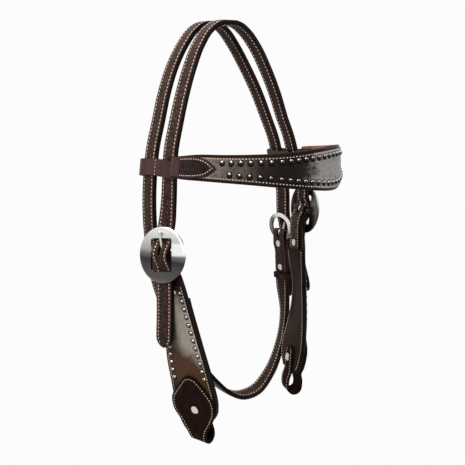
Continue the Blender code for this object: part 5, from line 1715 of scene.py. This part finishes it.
# Where each row's last spot stands beside the near leaf: the upper row is 1, the lower one -1.
BAND_SPOT_ENDS = {1: 238.6, -1: 230.5}
CHEEK_SPOT_START = 8.0
# Where the leaf begins, on the front edge and on the rear one.
CHEEK_SPOT_ENDS = {1: 106.0, -1: 108.0}
SPOT_SIZE = (STUD_RADIUS, STUD_RADIUS, STUD_HEIGHT)
SPOT_SHADOW_SIZE = (STUD_RADIUS + SPOT_SHADOW_ROOM, STUD_RADIUS + SPOT_SHADOW_ROOM, SPOT_SHADOW_HEIGHT)


def spot_shadow_finish():
    """The thin dark disc round a spot's foot: painted contact shadow."""
    look = Finish("painted_spot_shadow", Roughness=0.8, Specular_IOR_Level=0.1)
    specks = look.noise(look.place(), 900.0)
    return look.set(Base_Color=look.mix(specks.step(0.3, 0.8), colour(12, 9, 8), colour(30, 23, 20)))


def spot_lines(face, inset, ends, start):
    """A line inside each edge of a face, from the start to that edge's own end."""
    route, fronts, rears = face
    lines = []
    for edge, end in ends.items():
        lines += row_lines(route, fronts, rears, inset, HIDE_FACE, start, end, (edge,))
    return lines


SPOT_SHADOW = spot_shadow_finish()
SPOTS = repeat_tree("spot_rows", 14, 10, 1.0, SPOT_NICKEL)
PALE_SPOTS = repeat_tree("pale_spot_rows", 14, 10, 1.0, PALE_NICKEL)
SPOT_SHADOWS = repeat_tree("spot_painted_shadows", 14, 10, 1.0, SPOT_SHADOW)
FACE = BAND_FACE, BAND_FACE_HALVES, BAND_FACE_HALVES
CLOSE_ENDS = {edge: BAND_SPOT_CHANGE for edge in BAND_SPOT_ENDS}
NEAR_START = BAND_SPOT_CHANGE + CLOSE_SPOT_PITCH
BAND_SPOTS = [
    ("far", spot_lines(FACE, BAND_SPOT_INSET, CLOSE_ENDS, BAND_SPOT_START), CLOSE_SPOT_PITCH),
    ("near", spot_lines(FACE, BAND_SPOT_INSET, BAND_SPOT_ENDS, NEAR_START), BAND_SPOT_PITCH),
]
for part, lines, pitch in BAND_SPOTS:
    repeat(f"browband_{part}_painted_shadows", lines, SPOT_SHADOWS, SPOT_SHADOW, "browband", pitch, SPOT_SHADOW_SIZE)
    repeat(f"browband_{part}_spots", lines, SPOTS, SPOT_NICKEL, "browband", pitch, SPOT_SIZE)
for side, who in SIDE_NAMES.items():
    route, edges = CHEEK_FACES[side][:2]
    lines = spot_lines((route, *edges), CHEEK_SPOT_INSET, CHEEK_SPOT_ENDS, CHEEK_SPOT_START)
    body = f"{who}_cheek"
    repeat(f"{who}_cheek_spots", lines, PALE_SPOTS, PALE_NICKEL, body, CHEEK_SPOT_PITCH, SPOT_SIZE)
    repeat(f"{who}_cheek_painted_shadows", lines, SPOT_SHADOWS, SPOT_SHADOW, body, CHEEK_SPOT_PITCH, SPOT_SHADOW_SIZE)

# %% [markdown]
# ## Stitching on the faces and the leaves
#
# Finer rows hold the inlays, the folded cheek leather and its lining, the rough-out leaves and the leaves
# of the browband's loops. A short row across each loop closes it between the two straps.

# %% Stitching on the faces and the leaves
FACE_INSET, CHAPE_INSET, LEAF_INSET = 1.3, 2.4, 2.4
LEAF_ROWS_END = 44.0
ROW_END = 2.0
ON_HAIR, ON_LEAF, ON_LOOP = (thick / 2 + THREAD_ON_FACE for thick in (HIDE_THICK, TAB_THICK, LOOP_THICK))
ON_CHEEK = CHEEK_LAYER / 2 + THREAD_ON_FACE


def bit_leaf_lines(side):
    """Round the leaf's outline and down to the fold, then up the limb behind."""
    route, fronts, rears, lowest = BIT_LOOPS[side]
    fold = route.run[lowest]
    lines = [outline_line(route, fronts, rears, STITCH_INSET, ON_LEAF, fold - ROW_END)]
    return lines + row_lines(route, fronts, rears, STITCH_INSET, ON_LEAF, fold + 4.0, route.run[-1] - 4.0)


def band_leaf_lines(side):
    """Round the leaf on the band's face, and one row across between the two straps."""
    route, widths, middle = BAND_LEAVES[side]
    across = np.arange(1.5 - LOOP_HALF, LOOP_HALF - 1.4, 1.0)
    seam = route.spots(np.full(len(across), middle), across, np.full(len(across), ON_LOOP))
    return [outline_line(route, widths, widths, LEAF_INSET, ON_LOOP, LEAF_ROWS_END), seam]


def cheek_lines(side):
    """The rows along the inlay, the folded leather and the lining behind."""
    route, edges, base, lining = CHEEK_FACES[side]
    lines = row_lines(route, *edges, FACE_INSET, ON_HAIR, ROW_END, route.run[-1] - 4.0)
    lines += row_lines(*base, CHAPE_INSET, ON_CHEEK, 3.0, TURN_BACK - ROW_END)
    return lines + on_the_back(row_lines(*lining, CHAPE_INSET, -ON_CHEEK, 3.0, lining[0].run[-1] - 3.0))


BAND_ROWS = row_lines(*FACE, FACE_INSET, ON_HAIR, ROW_END, BAND_FACE.run[-1] - ROW_END)
BAND_ROWS += [line for side in SIDE_NAMES for line in band_leaf_lines(side)]
sew("browband_stitching", BAND_ROWS, "browband", SHORT_STITCH, 4)
for side, who in SIDE_NAMES.items():
    sew(f"{who}_cheek_stitching", cheek_lines(side) + bit_leaf_lines(side), f"{who}_cheek", SHORT_STITCH, 5)
